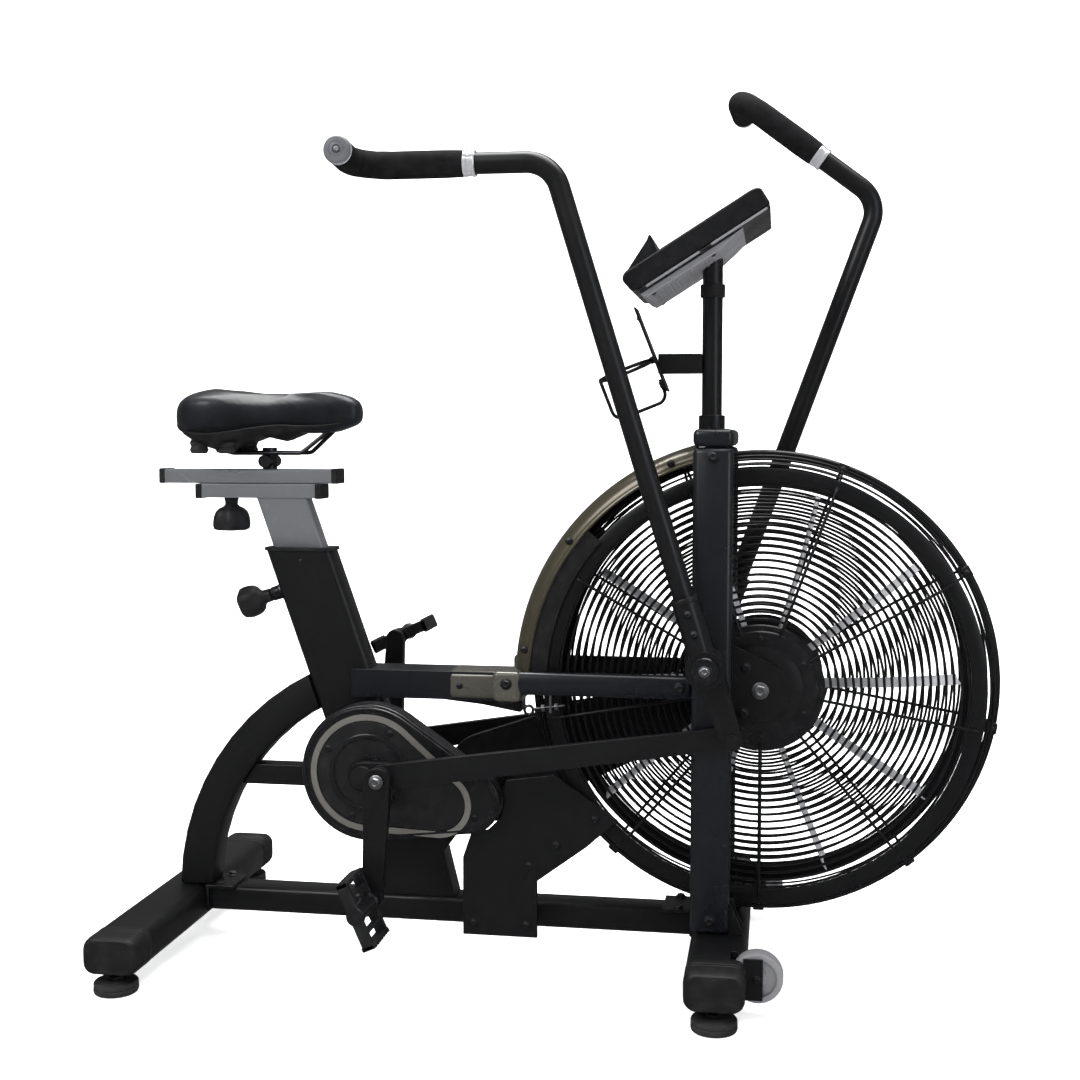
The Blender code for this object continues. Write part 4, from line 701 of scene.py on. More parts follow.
def linkage():
    for word, side in SIDES:
        journal = joint_at(f"{word}_rod_pivot")
        polished(f"push_rod_{word}", "frame", 0.003, 3)
        polished(f"crank_arm_{word}", "frame", 0.0028, 3)
        polished(f"crank_web_{word}", "frame", 0.0022)
        bolts(f"journal_nut_{word}", outward([(journal.x, journal.z)], 0.1692, (side,)), 0.0075, 0.0075,
            "crank")
        bm = bmesh.new()
        for profile in ([(0.009, 0.144), (0.015, 0.144), (0.0165, 0.1452), (0.0165, 0.1476), (0.015,
                0.1488), (0.009, 0.1488), (0.009, 0.144)], [(0.009, 0.1264), (0.0145, 0.1264), (0.0155,
                0.128), (0.0155, 0.13), (0.0145, 0.1316), (0.009, 0.1316), (0.009, 0.1264)]):
            lathe(bm, (journal.x, 0, journal.z), (0, side, 0), profile, 40)
        piece(f"journal_washers_{word}", bm, "steel", "crank")
        head = [(0, -0.132), (0.0105, -0.132), (0.0115, -0.1314), (0.0115, -0.13), (0.01, -0.1291), (0,
            -0.1288)]
        piece(f"rod_pin_head_{word}", shape(lathe, lever_pin(word), (0, -side, 0), head), "bolt",
            f"push_rod_{word}")
        pedal_cage(word, side)
    bm = bmesh.new()
    for side in (RIGHT, LEFT):
        lathe(bm, (CRANK.x, 0, CRANK.z), (0, side, 0), [(0.011, 0.1258), (0.016, 0.1258), (0.017, 0.1268),
            (0.016, 0.129), (0.009, 0.1298), (0, 0.1298)], 36)
    piece("crank_axle_caps", bm, "cap", "crank")


def pedal_cage(word, side):
    """A caged pedal: two toothed bars, end plates, a barrel and a grease cap."""
    at = joint_at(f"{word}_pedal_spin")
    turn = turned((at.x, side * PEDAL_Y, at.z), PEDAL_TILT[word])
    bm = bmesh.new()
    for sign in (-1, 1):
        block(bm, (sign * 0.0425, -0.037, -0.0095), (sign * 0.049, 0.037, 0.0095), turn)
        block(bm, (-0.049, sign * 0.03, -0.0085), (0.049, sign * 0.037, 0.0085), turn)
        block(bm, (sign * 0.0245, -0.033, -0.0065), (sign * 0.029, 0.033, 0.0065), turn)
        for k in range(7):
            y = -0.0315 + 0.0105 * k
            for face in (-1, 1):
                block(bm, (sign * 0.043, y - 0.0024, face * 0.008), (sign * 0.0488, y + 0.0024,
                    face * 0.0112), turn)
    piece(f"pedal_cage_{word}", bm, "plastic", f"pedal_{word}", replaces=(f"pedal_{word}",), bevel=0.0011)
    barrel = [(0.0072, -0.037), (0.013, -0.037), (0.0138, -0.0355), (0.0138, -0.03), (0.0118, -0.0285),
        (0.0112, 0.015), (0.0118, 0.0285), (0.0132, 0.03), (0.0132, 0.0352), (0.0115, 0.037), (0.004,
        0.0372), (0.0035, 0.0364), (0, 0.0364)]
    piece(f"pedal_barrel_{word}", shape(lathe, turn.translation, (0, side, 0), barrel), "gloss",
        f"pedal_{word}")


# ---------- handles ----------

HANDLE_Y = 0.17
HANDLE_RISE = 0.709
TUBE_R = 0.0146
RUN_ANGLE = math.radians(17.4)
GRIP_BEND_R = 0.05
GRIP_TURN = math.radians(95.0)


def handle_lines(word, side):
    """The handle's path, its grip's path and the directions of both ends, in world space."""
    place = turned((PIVOT.x, side * HANDLE_Y, PIVOT.z), LEAN[word])
    run = Vector((-math.cos(RUN_ANGLE), 0, math.sin(RUN_ANGLE)))
    rise = Vector((0, 0, HANDLE_RISE))
    corner = rise + run * 0.119
    path = bent([(0, 0, 0.034), rise, corner], 0.048, 14)
    out = Vector((0, side, 0))
    turn_at = corner + run * 0.097
    grip = [corner + run * 0.0003, corner + run * 0.03, corner + run * 0.062, turn_at]
    for i in range(1, 17):
        a = GRIP_TURN * i / 16
        grip.append(turn_at + run * GRIP_BEND_R * math.sin(a) + out * GRIP_BEND_R * (1 - math.cos(a)))
    heading = run * math.cos(GRIP_TURN) + out * math.sin(GRIP_TURN)
    last = grip[-1]
    grip += [last + heading * reach for reach in (0.019, 0.038, 0.058)]
    turn = place.to_3x3()
    return [place @ p for p in path], [place @ p for p in grip], turn @ heading, turn @ run, place


def handle(word, side):
    body = f"arm_{word}"
    path, grip, heading, run, place = handle_lines(word, side)
    piece(f"handle_tube_{word}", shape(tube, path[:-1] + grip[:2], TUBE_R, 28), "frame", body,
        replaces=(f"handle_{word}",))
    band = [(0.015, -0.0002), (0.0172, -0.0002), (0.0178, 0.0006), (0.0178, 0.0042), (0.017, 0.005), (0.017,
        0.0108), (0.0178, 0.0116), (0.0178, 0.0152), (0.0172, 0.016), (0.015, 0.016), (0.015, -0.0002)]
    piece(f"handle_band_{word}", shape(lathe, path[-1], -run, band, 40), "chrome", body)
    tip = grip[-1]
    collar = [(0.012, 0.0002), (0.0184, 0.0002), (0.0187, 0.001), (0.0187, 0.0036), (0.0182, 0.0044),
        (0.012, 0.0044), (0.012, 0.0002)]
    piece(f"grip_collar_{word}", shape(lathe, tip, heading, collar, 40), "chrome", body)
    plug = [(0, 0.004), (0.0176, 0.004), (0.0178, 0.006), (0.0174, 0.0092), (0.0158, 0.0112), (0.0105,
        0.0119), (0.0098, 0.0112), (0.0088, 0.0112), (0.008, 0.0117), (0.0058, 0.0117), (0.0052, 0.009), (0,
        0.009)]
    piece(f"grip_plug_{word}", shape(lathe, tip, heading, plug, 40), "plug", body)
    bolts(f"grip_bolt_{word}", [(tip + heading * 0.0088, heading)], 0.0036, 0.0026, body)
    foam_grip(word, side, body, grip)
    polished(f"handle_bracket_{word}", "frame", 0.002)
    up = place.to_3x3() @ Vector((0, 0, 1))
    hub = place.translation
    lip = [(0.015, 0.0995), (0.0186, 0.0995), (0.0192, 0.0985), (0.0192, 0.0935), (0.0186, 0.0925), (0.015,
        0.0925), (0.015, 0.0995)]
    piece(f"sleeve_lip_{word}", shape(lathe, hub, up, lip, 40), "gloss", body)
    out = Vector((0, side, 0))
    screws(f"sleeve_bolts_{word}", [(hub + up * h + out * 0.0183, out) for h in (0.05, 0.078)], 0.0042,
        0.004, body)
    cap = [(0.012, 0.1905), (0.0178, 0.1905), (0.0184, 0.1915), (0.0184, 0.1938), (0.0172, 0.1952), (0.012,
        0.1958), (0.0112, 0.195), (0, 0.195)]
    piece(f"pivot_cap_{word}", shape(lathe, (PIVOT.x, 0, PIVOT.z), out, cap, 40), "gloss")
    bolts(f"pivot_bolt_{word}", outward([(PIVOT.x, PIVOT.z)], 0.1948, (side,)), 0.006, 0.0044)


def foam_grip(word, side, body, line):
    """A foam sleeve: fat in the hand's middle, drawn in where its ends are cut, with faint squeeze waves."""
    smooth = []
    for a, b in zip(line, line[1:]):
        smooth += [a, a.lerp(b, 0.5)]
    smooth.append(line[-1])
    count = len(smooth)
    scale = []
    for i in range(count):
        t = i / (count - 1)
        ends = min(t, 1 - t) * count
        dip = 0.965 + 0.035 * min(ends / 1.5, 1.0)
        scale.append(dip * (1 + 0.01 * math.sin(13.0 * t + side) + 0.006 * math.sin(31.0 * t)))
    grip = piece(f"foam_grip_{word}", shape(tube, smooth, 0.0186, 32, scale=scale), "foam", body,
        replaces=(f"grip_{word}",), bevel=0.0018, segments=3)


# ---------- seat ----------

TUBE_TOP = Vector((-0.39705, 0, 0.6))
TUBE_LEAN = math.radians(19.2)
TUBE_UP = Vector((-math.sin(TUBE_LEAN), 0, math.cos(TUBE_LEAN)))
TUBE_BACK = Vector((-math.cos(TUBE_LEAN), 0, -math.sin(TUBE_LEAN)))
LOW_BAR = 0.679
LOW_BAR_ENDS = (-0.55775, -0.36175)
BAR_HEIGHT = 0.0215


def seat_support():
    polished("seat_tube", "frame", 0.0012)
    polished("seat_bush", "plastic", 0.0015)
    polished("seat_post", "silver", 0.0016)
    polished("seat_slider", "silver", 0.0022)
    polished("saddle_clamp", "bolt_dark", 0.0015)
    slider_low, slider_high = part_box("seat_slider")
    upper, lower = bmesh.new(), bmesh.new()
    for x, sign in ((slider_low[0], -1), (slider_high[0], 1)):
        block(upper, (x - sign * 0.008, -0.0202, slider_low[2] - 0.0003), (x + sign * 0.0016, 0.0202,
            slider_high[2] + 0.0012))
    for x, sign in zip(LOW_BAR_ENDS, (-1, 1)):
        block(lower, (x - sign * 0.009, -0.0202, LOW_BAR - 0.0012), (x + sign * 0.0016, 0.0202,
            LOW_BAR + BAR_HEIGHT - 0.0001))
    piece("slider_caps", upper, "cap", "seat_carriage", bevel=0.002, segments=3)
    piece("lower_bar_caps", lower, "cap", "seat_column", bevel=0.002, segments=3)
    knob = joint_at("slider_knob_turn")
    profile = [(0, 0), (0.0105, 0), (0.0112, -0.002), (0.01, -0.004), (0.0096, -0.01), (0.0125, -0.013),
        (0.019, -0.016), (0.024, -0.021), (0.0272, -0.029), (0.0282, -0.037), (0.0282, -0.043), (0.0266,
        -0.0475), (0.0215, -0.0494), (0.012, -0.0486), (0, -0.0482)]
    piece("slider_knob_grip", shape(lathe, (knob.x, 0, LOW_BAR - 0.0005), (0, 0, 1), profile, 72, 6, 0.06),
        "plastic", "slider_knob", replaces=("slider_knob",))
    pin = TUBE_TOP - TUBE_UP * 0.049
    profile = [(0, 0.119), (0.012, 0.1198), (0.0195, 0.1188), (0.0232, 0.1155), (0.0243, 0.109), (0.0238,
        0.1), (0.0218, 0.093), (0.018, 0.088), (0.013, 0.085), (0.0104, 0.0815), (0.0098, 0.07), (0.0086,
        0.069), (0.0048, 0.0685), (0.0048, 0.0385), (0, 0.0385)]
    piece("pop_pin_knob", shape(lathe, pin, TUBE_BACK, profile, 72, 5, 0.045), "plastic", "pop_pin",
        replaces=("pop_pin",))
    profile = [(0.006, 0.0478), (0.013, 0.0478), (0.0135, 0.049), (0.0135, 0.052), (0.012, 0.053), (0.0108,
        0.0534), (0.0108, 0.066), (0.01, 0.0674), (0.006, 0.0674), (0.006, 0.0478)]
    piece("pop_pin_nut", shape(lathe, pin, TUBE_BACK, profile, 24), "bolt_dark", bevel=0.0006)
    out = TUBE_BACK.cross(TUBE_UP)
    places = [(TUBE_TOP - TUBE_UP * 0.016 + out * sign * 0.0238, out * sign) for sign in (-1, 1)]
    screws("bush_screws", places, 0.0026, 0.0018)


SADDLE_TAIL = -0.58475
SADDLE_LOW = 0.743
PAD = (
    # x from the tail, half width, underside, top edge height, crown
    (0.006, 0.05, 0.046, 0.066, 0.074),
    (0.018, 0.074, 0.034, 0.08, 0.09),
    (0.042, 0.091, 0.028, 0.087, 0.097),
    (0.074, 0.0955, 0.026, 0.087, 0.0965),
    (0.106, 0.089, 0.03, 0.084, 0.092),
    (0.138, 0.073, 0.036, 0.081, 0.0885),
    (0.17, 0.056, 0.04, 0.081, 0.0885),
    (0.202, 0.043, 0.038, 0.083, 0.0905),
    (0.232, 0.0345, 0.039, 0.085, 0.0925),
    (0.258, 0.0285, 0.042, 0.084, 0.0915),
    (0.276, 0.0215, 0.046, 0.08, 0.0865),
    (0.287, 0.0135, 0.052, 0.074, 0.078),
)


def pad_ring(x, half, low, edge, crown, steps=24):
    """One section of the pad: a flat underside, full sides and a crowned top with a shallow channel."""
    points = []
    for i in range(steps):
        a = 2 * math.pi * i / steps
        c, s = math.cos(a), math.sin(a)
        y = half * math.copysign(abs(c) ** 0.72, c)
        if s >= 0:
            z = edge - 0.018 + (crown - edge + 0.018) * abs(s) ** 0.62
            if 0.03 < x < 0.24:
                z -= 0.0052 * math.exp(-(y / 0.011) ** 2) * min(1.0, half / 0.05)
        else:
            z = edge - 0.018 - (edge - 0.018 - low) * abs(s) ** 0.45
        points.append((SADDLE_TAIL + x, y, SADDLE_LOW + z))
    return points


def saddle():
    bm = bmesh.new()
    loft(bm, [[bm.verts.new(p) for p in pad_ring(*section)] for section in PAD])
    pad = piece("saddle_pad", bm, "vinyl", "seat_carriage", replaces=("saddle",), sharp=80)
    finish_pad(pad)
    trim_saddle()


def finish_pad(pad):
    """Fills the pad like a cushion with a short cloth run, kept close to its cut shape."""
    bpy.context.view_layer.objects.active = pad
    smooth = pad.modifiers.new("smooth", "SUBSURF")
    smooth.levels = smooth.render_levels = 1
    remesh = pad.modifiers.new("even", "REMESH")
    remesh.mode = "VOXEL"
    remesh.voxel_size = 0.005
    remesh.use_smooth_shade = True
    freeze(pad)
    start = [v.co.copy() for v in pad.data.vertices]
    cloth = pad.modifiers.new("fill", "CLOTH")
    cloth.settings.use_pressure = True
    cloth.settings.uniform_pressure_force = 4.0
    cloth.settings.tension_stiffness = 30
    cloth.settings.bending_stiffness = 2.0
    cloth.settings.effector_weights.gravity = 0
    for number in range(1, 21):
        bpy.context.scene.frame_set(number)
    freeze(pad)
    bpy.context.scene.frame_set(1)
    furthest = 0.0055
    for vert, before in zip(pad.data.vertices, start):
        moved = vert.co - before
        if moved.length > furthest:
            vert.co = before + moved.normalized() * furthest
    pad.data.shade_smooth()
    last = pad.modifiers.new("skin", "SUBSURF")
    last.levels = last.render_levels = 1


def freeze(obj):
    """Applies every modifier to the mesh."""
    deps = bpy.context.evaluated_depsgraph_get()
    mesh = bpy.data.meshes.new_from_object(obj.evaluated_get(deps))
    obj.modifiers.clear()
    obj.data = mesh


def saddle_base():
    """The moulded shell under the pad; it drops deeper over the bumpers and over the clamp."""
    bm = bmesh.new()
    rows = []
    for x, half, low, _, _ in PAD:
        over_bumpers = 0.016 * math.exp(-((x - 0.07) / 0.042) ** 2)
        over_clamp = 0.016 * math.exp(-((x - 0.168) / 0.022) ** 2)
        drop = 0.008 + over_bumpers + over_clamp
        row = []
        for i in range(16):
            c, s = math.cos(2 * math.pi * i / 16), math.sin(2 * math.pi * i / 16)
            y = (half * 0.9 - 0.005) * math.copysign(abs(c) ** 0.6, c)
            z = low + 0.005 + (drop if s < 0 else 0.012) * s
            row.append(bm.verts.new((SADDLE_TAIL + 0.006 + x * 0.94, y, SADDLE_LOW + z)))
        rows.append(row)
    loft(bm, rows)
    piece("saddle_base", bm, "cap", "seat_carriage", sharp=50)


def trim_saddle():
    """Welt, moulded base, elastomer bumpers and rails under the pad."""
    welt = []
    for side, rows in ((1, PAD), (-1, PAD[::-1])):
        welt += [Vector((SADDLE_TAIL + 0.004 + x * 0.965, side * (half * 0.96 - 0.004),
            SADDLE_LOW + low + 0.005)) for x, half, low, _, _ in rows]
    piece("saddle_welt", shape(tube, rounded_loop(welt), 0.0018, 8, closed=True), "cap", "seat_carriage")
    saddle_base()
    bumpers, rails = bmesh.new(), bmesh.new()
    for side in (1, -1):
        for x, y in ((0.046, 0.05), (0.088, 0.046)):
            lathe(bumpers, (SADDLE_TAIL + x, side * y, SADDLE_LOW), (0, 0, 1), [(0, 0.024), (0.012, 0.024),
                (0.0142, 0.019), (0.012, 0.014), (0.0142, 0.009), (0.0115, 0.0035), (0, 0.003)], 24)
        path = [(SADDLE_TAIL + x, side * y, SADDLE_LOW + z) for x, y, z in ((0.246, 0.01, 0.046), (0.196,
            0.0235, 0.004), (0.088, 0.0235, 0.004), (0.05, 0.04, 0.018))]
        tube(rails, bent(path, 0.014, 6), 0.0034, 12)
    piece("saddle_bumpers", bumpers, "rubber", "seat_carriage")
    piece("saddle_rails", rails, "bolt_dark", "seat_carriage")


def rounded_loop(points, times=2):
    """Cuts the corners of a closed loop of points until it is smooth."""
    for _ in range(times):
        cut = []
        for a, b in zip(points, points[1:] + points[:1]):
            cut += [a.lerp(b, 0.25), a.lerp(b, 0.75)]
        points = cut
    return points


# ---------- console and bottle holder ----------

MAST_X = 0.22725
CONSOLE = turned((0.12425, 0, 0.957), -32.0)
CONSOLE_HALF = 0.105         # half of its width


def console_prism(outline, inset):
    """A plate across Y drawn in the console's own x and z, short of both of its sides."""
    half = CONSOLE_HALF - inset
    bm = shape(prism, outline, -half, half)
    bmesh.ops.transform(bm, matrix=CONSOLE, verts=bm.verts)
    return bm


def console():
    shell = [(0.004, 0.015), (0.216, 0.015), (0.2178, 0.018), (0.2178, 0.0405), (0.212, 0.0448), (0.204,
        0.0458), (0.006, 0.0458), (-0.002, 0.043), (-0.0058, 0.037), (-0.003, 0.02)]
    piece("console_shell", console_prism(shell, 0), "gloss", replaces=("console_body",), bevel=0.0045,
        segments=4)
    rim = [(0.006, 0.0104), (0.215, 0.0104), (0.216, 0.0144), (0.005, 0.0144)]
    piece("console_rim", console_prism(rim, 0.001), "gloss", bevel=0.0015)
    cover = [(0.01, 0.0012), (0.13, 0.0012), (0.15, 0.005), (0.172, 0.0102), (0.004, 0.0102)]
    piece("console_back_cover", console_prism(cover, 0.014), "console", replaces=("console_back",),
        bevel=0.0022, segments=3)
    bm = bmesh.new()
    for side in (RIGHT, LEFT):
        for start, end in ((0.018, 0.104), (0.122, 0.211)):
            block(bm, (start, side * (CONSOLE_HALF - 0.0022), 0.0108), (end, side * (CONSOLE_HALF - 0.0004),
                0.0142), CONSOLE)
    for k in range(9):
        x = 0.02 + 0.012 * k
        block(bm, (x, -0.07, 0.0), (x + 0.004, 0.07, 0.0022), CONSOLE)
    piece("console_ribs", bm, "console", bevel=0.0006)
    bezel = shape(block, (0.086, -0.078, 0.045), (0.202, 0.078, 0.0466), CONSOLE)
    piece("console_bezel", bezel, "cap", bevel=0.001)
    screen = shape(block, (0.092, -0.072, 0.046), (0.196, 0.072, 0.047), CONSOLE)
    piece("console_screen", screen, "screen", bevel=0.0003)
    bm = bmesh.new()
    for y in (-0.06, -0.03, 0.0, 0.03, 0.06):
        block(bm, (0.069, y - 0.0095, 0.0452), (0.081, y + 0.0095, 0.0476), CONSOLE)
    piece("console_buttons", bm, "plug", bevel=0.0012, segments=3)
    ledge = [(0.0, 0.042), (0.056, 0.044), (0.059, 0.06), (0.06, 0.069), (0.0575, 0.0705), (0.052, 0.066),
        (0.026, 0.054)]
    piece("console_ledge", console_prism(ledge, 0.0015), "gloss", bevel=0.0016, segments=3)
    down = CONSOLE.to_3x3() @ Vector((0, 0, -1))
    places = [(CONSOLE @ Vector((x, y, 0.0014)), down) for x in (0.022, 0.118) for y in (0.08, -0.08)]
    screws("console_screws", places, 0.003, 0.002)
    neck = [(0.0145, 0.97), (0.0172, 0.97), (0.0178, 0.9712), (0.0178, 0.987), (0.0172, 0.9884), (0.0145,
        0.9884), (0.0145, 0.97)]
    piece("console_neck_ring", shape(lathe, (MAST_X - 0.008, 0, 0), (0, 0, 1), neck, 36), "cap")


def bottle_cage():
    lean = turned((0.14045, 0, 0.876), -21.5)
    polished("bottle_holder", "frame", 0.0012)
    middle, ring_r = -0.0454, 0.0408
    hoop = [lean @ Vector((*polar(middle, 0, ring_r, -165 + 5.75 * k), 0.008)) for k in range(61)]
    bm = shape(tube, hoop, 0.0028, 12)
    loop = bent([(middle - ring_r, 0, 0.008), (middle - ring_r, 0, -0.054), (middle + ring_r, 0, -0.054),
        (middle + ring_r, 0, -0.022)], 0.014, 10)
    tube(bm, [lean @ p for p in loop], 0.0027, 12)
    piece("bottle_wire", bm, "wire", replaces=("bottle_cage",))
    bm = bmesh.new()
    for z in (-0.03, 0.008):
        block(bm, (-0.008, -0.007, z - 0.005), (0.0022, 0.007, z + 0.005), lean)
    piece("bottle_clips", bm, "bolt_dark", bevel=0.001)
    back = lean.to_3x3() @ Vector((-1, 0, 0))
    places = [(lean @ Vector((-0.0014, y, 0.07)), back) for y in (-0.014, 0.014)]
    screws("bottle_screws", places, 0.0032, 0.0024, mat="bolt")


# ---------- frame ----------

def foot_middle(node):
    low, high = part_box(node)
    return (low[0] + high[0]) / 2, (low[1] + high[1]) / 2


def levelling_feet():
    pads, nuts = bmesh.new(), bmesh.new()
    names = [f"levelling_foot_{end}_{word}" for end in ("rear", "front") for word, _ in SIDES]
    for node in names:
        at = (*foot_middle(node), 0)
        lathe(pads, at, (0, 0, 1), [(0, 0), (0.0285, 0), (0.03, 0.0012), (0.0308, 0.004), (0.0308, 0.0075),
            (0.0298, 0.0084), (0.0298, 0.0096), (0.0306, 0.0104), (0.0306, 0.014), (0.0294, 0.016), (0.0245,
            0.0172), (0.013, 0.0178), (0, 0.0178)], 48)
        lathe(nuts, at, (0, 0, 1), [(0, 0.0175), (0.0105, 0.0175), (0.0118, 0.0185), (0.0118, 0.0225),
            (0.0105, 0.0235), (0.005, 0.0235), (0.005, 0.0285), (0, 0.0285)], 6)
    piece("foot_pads", pads, "rubber", replaces=names)
    piece("foot_nuts", nuts, "bolt_dark", bevel=0.0004)


FOOT_MIDDLE_Z = 0.055
GROOVE = 0.975
CAP_ROWS = ((0.226, 0.984), (0.2275, 1.0), (0.238, 1.0), (0.239, GROOVE), (0.241, GROOVE), (0.242, 1.0),
    (0.246, 1.0), (0.247, GROOVE), (0.249, GROOVE), (0.25, 1.0), (0.266, 1.0), (0.273, 0.985), (0.278,
    0.94), (0.2802, 0.87))


def foot_caps():
    """Moulded covers pushed over both ends of each floor bar, with grip grooves."""
    bm = bmesh.new()
    outline = rounded_box(0.0404, 0.0264, 0.0165)
    for end in ("rear", "front"):
        middle = foot_middle(f"levelling_foot_{end}_right")[0]
        for side in (RIGHT, LEFT):
            loft(bm, [[bm.verts.new((middle + x * grow, side * y, FOOT_MIDDLE_Z + z * grow)) for x,
                z in outline] for y, grow in CAP_ROWS])
    piece("foot_caps", bm, "cap", sharp=25)


SIDE_BAR_Y = 0.0876
SIDE_BAR_Z = 0.4195
TOP_BAR_TOP = 0.425
TOP_BAR_BOTTOM = 0.383
TOP_BAR_Z = (TOP_BAR_TOP + TOP_BAR_BOTTOM) / 2


def side_bar(word, side):
    """A bar with a rounded outer face, and the knuckle where it meets the top tube."""
    low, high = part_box(f"side_bar_{word}")
    bm = bmesh.new()
    face = [(0.0165 * math.sin(math.radians(a)), 0.0088 * math.cos(math.radians(a))) for a in range(-90, 91,
        15)]
    face = [(-0.0165, -0.0058), *face, (0.0165, -0.0058)]
    rows = []
    for x, grow in ((low[0] + 0.004, 0.92), (low[0] + 0.005, 1.0), (high[0] - 0.006, 1.0), (high[0], 0.86)):
        rows.append([bm.verts.new((x, side * (SIDE_BAR_Y + out * (grow if out > 0 else 1)),
            SIDE_BAR_Z + up * grow)) for up, out in face])
    loft(bm, rows)
    piece(f"side_bar_shell_{word}", bm, "mast", replaces=(f"side_bar_{word}",), bevel=0.0008)
    knuckle = shape(block, (-0.085, side * 0.0705, 0.393), (-0.044, side * 0.0975, 0.437))
    # The knuckle takes the lighter copy of the frame coat, which is painted light.
    piece(f"bar_knuckle_{word}", knuckle, "lit", bevel=0.0075, segments=4)


def top_bars():
    polished("top_tube", "mast", 0.004, 4)
    for word, side in SIDES:
        side_bar(word, side)
    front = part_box("top_tube")[1][0]
    path = [(front + x, 0, TOP_BAR_Z) for x in (-0.106, -0.103, -0.02, 0.001)]
    sleeve = shape(sweep, path, rounded_box(0.0336, 0.0226, 0.011), up=(0, 0, 1), scale=[0.965, 1.0, 1.0,
        0.96])
    # The sleeve takes the lighter copy of the frame coat, which is painted light.
    piece("top_tube_sleeve", sleeve, "lit", bevel=0.0012)
    under = [(front + x, TOP_BAR_BOTTOM + z) for x, z in ((-0.18, 0.003), (-0.12, -0.003), (-0.06, -0.009),
        (-0.004, -0.019), (-0.001, -0.017), (-0.001, 0.003))]
    piece("top_tube_gusset", shape(prism, under, -0.018, 0.018), "frame", bevel=0.002)
    screws("sleeve_screws", outward([(front - 0.092, TOP_BAR_Z)], 0.0335), 0.0036, 0.0026)
    places = outward([(-0.0645, SIDE_BAR_Z)], 0.0973) + outward([(0.182, SIDE_BAR_Z)], 0.0955)
    bolts("side_bar_bolts", places, 0.0062, 0.005, mat="bolt_dark")


def tensioner():
    """The eye bolt and lock nuts that pull the belt tight, under each side bar."""
    eyes, nuts = bmesh.new(), bmesh.new()
    for side in (RIGHT, LEFT):
        y = side * 0.0845
        ring(eyes, (-0.034, y, 0.381), 0.0062, 0.0022, 32, 8)
        tube(eyes, [(-0.0285, y, 0.3822), (0.018, y, 0.3885)], 0.0024, 10)
        for x in (-0.013, 0.006):
            lathe(nuts, (x, y, 0.3843 + (x + 0.013) * 0.13), (1, 0, 0.13), [(0, -0.0025), (0.0054, -0.0025),
                (0.0054, 0.0025), (0, 0.0025)], 6)
        block(nuts, (-0.004, side * 0.0822, 0.378), (-0.001, side * 0.0872, 0.4045))
    piece("tensioner_eyes", eyes, "bolt_dark")
    piece("tensioner_nuts", nuts, "bolt", bevel=0.0004)


BARE_NODES = (("bottom_rail", "frame", 0.0), ("rear_foot", "frame", 0.0), ("front_foot", "frame", 0.0008),
    ("rear_arc", "frame", 0.0), ("brace", "frame", 0.0025), ("mast_right", "mast", 0.0), ("mast_left",
    "mast", 0.0), ("mast_bridge", "mast", 0.0), ("console_post", "frame", 0.0012), ("crank_support",
    "frame", 0.002), ("drive_plate", "frame", 0.0012), ("axle_plate_right", "frame", 0.001),
    ("axle_plate_left", "frame", 0.001))
RAIL_ENDS = ((-0.548, 1), (0.2, -1))       # x, and which way the rail runs from there


def main_frame():
    for node, mat, width in BARE_NODES:
        polished(node, mat, width)
    gussets, brackets = bmesh.new(), bmesh.new()
    outline = [(0.2525, 0.0805), (0.2725, 0.0805), (0.2725, 0.086), (0.2565, 0.125), (0.2525, 0.125)]
    for side in (RIGHT, LEFT):
        for y in (0.094, 0.118):
            prism(gussets, outline, side * y, side * (y + 0.004))
    for x, sign in RAIL_ENDS:
        block(brackets, (x, -0.033, 0.079), (x + sign * 0.045, 0.033, 0.084))
        block(brackets, (x + sign * 0.0006, -0.033, 0.044), (x + sign * 0.006, 0.033, 0.08))
    piece("mast_gussets", gussets, "frame", bevel=0.0008)
    piece("rail_brackets", brackets, "frame", bevel=0.0012)
    frame_bolts()
    bearing_caps()


def frame_bolts():
    places = [((x + sign * 0.022, y, 0.0838), (0, 0, 1)) for x, sign in RAIL_ENDS for y in (-0.027, 0.027)]
    bolts("rail_bolts", places, 0.0062, 0.005, mat="bolt_dark")
    places = outward([(FAN.x - 0.02, 0.45), (FAN.x - 0.023, 0.386)], 0.0876)
    bolts("axle_plate_bolts", places, 0.0056, 0.0042, mat="bolt_dark")
    bolts("fan_axle_nuts", outward([(FAN.x, FAN.z)], 0.0874), 0.009, 0.0065, "fan")
    heads = [(-0.118, 0.062), (-0.04, 0.062), (-0.036, 0.15), (0.06, 0.222), (0.004, 0.182)]
    screws("plate_screws", outward(heads, 0.0742, (RIGHT,)), 0.0048, 0.003)
    bolts("mast_bolts", outward([(MAST_X, 0.744), (MAST_X, 0.1)], 0.1278), 0.0062, 0.0044, mat="bolt_dark")


def bearing_caps():
    bm = bmesh.new()
    for axle in (CRANK, JACK):
        for side in (RIGHT, LEFT):
            lathe(bm, (axle.x, 0, axle.z), (0, side, 0), [(0.0112, 0.048), (0.0235, 0.048), (0.0235,
                0.0536), (0.0225, 0.0546), (0.0125, 0.0546), (0.0112, 0.0534), (0.0112, 0.048)], 40)
    piece("bearing_caps", bm, "bolt_dark")


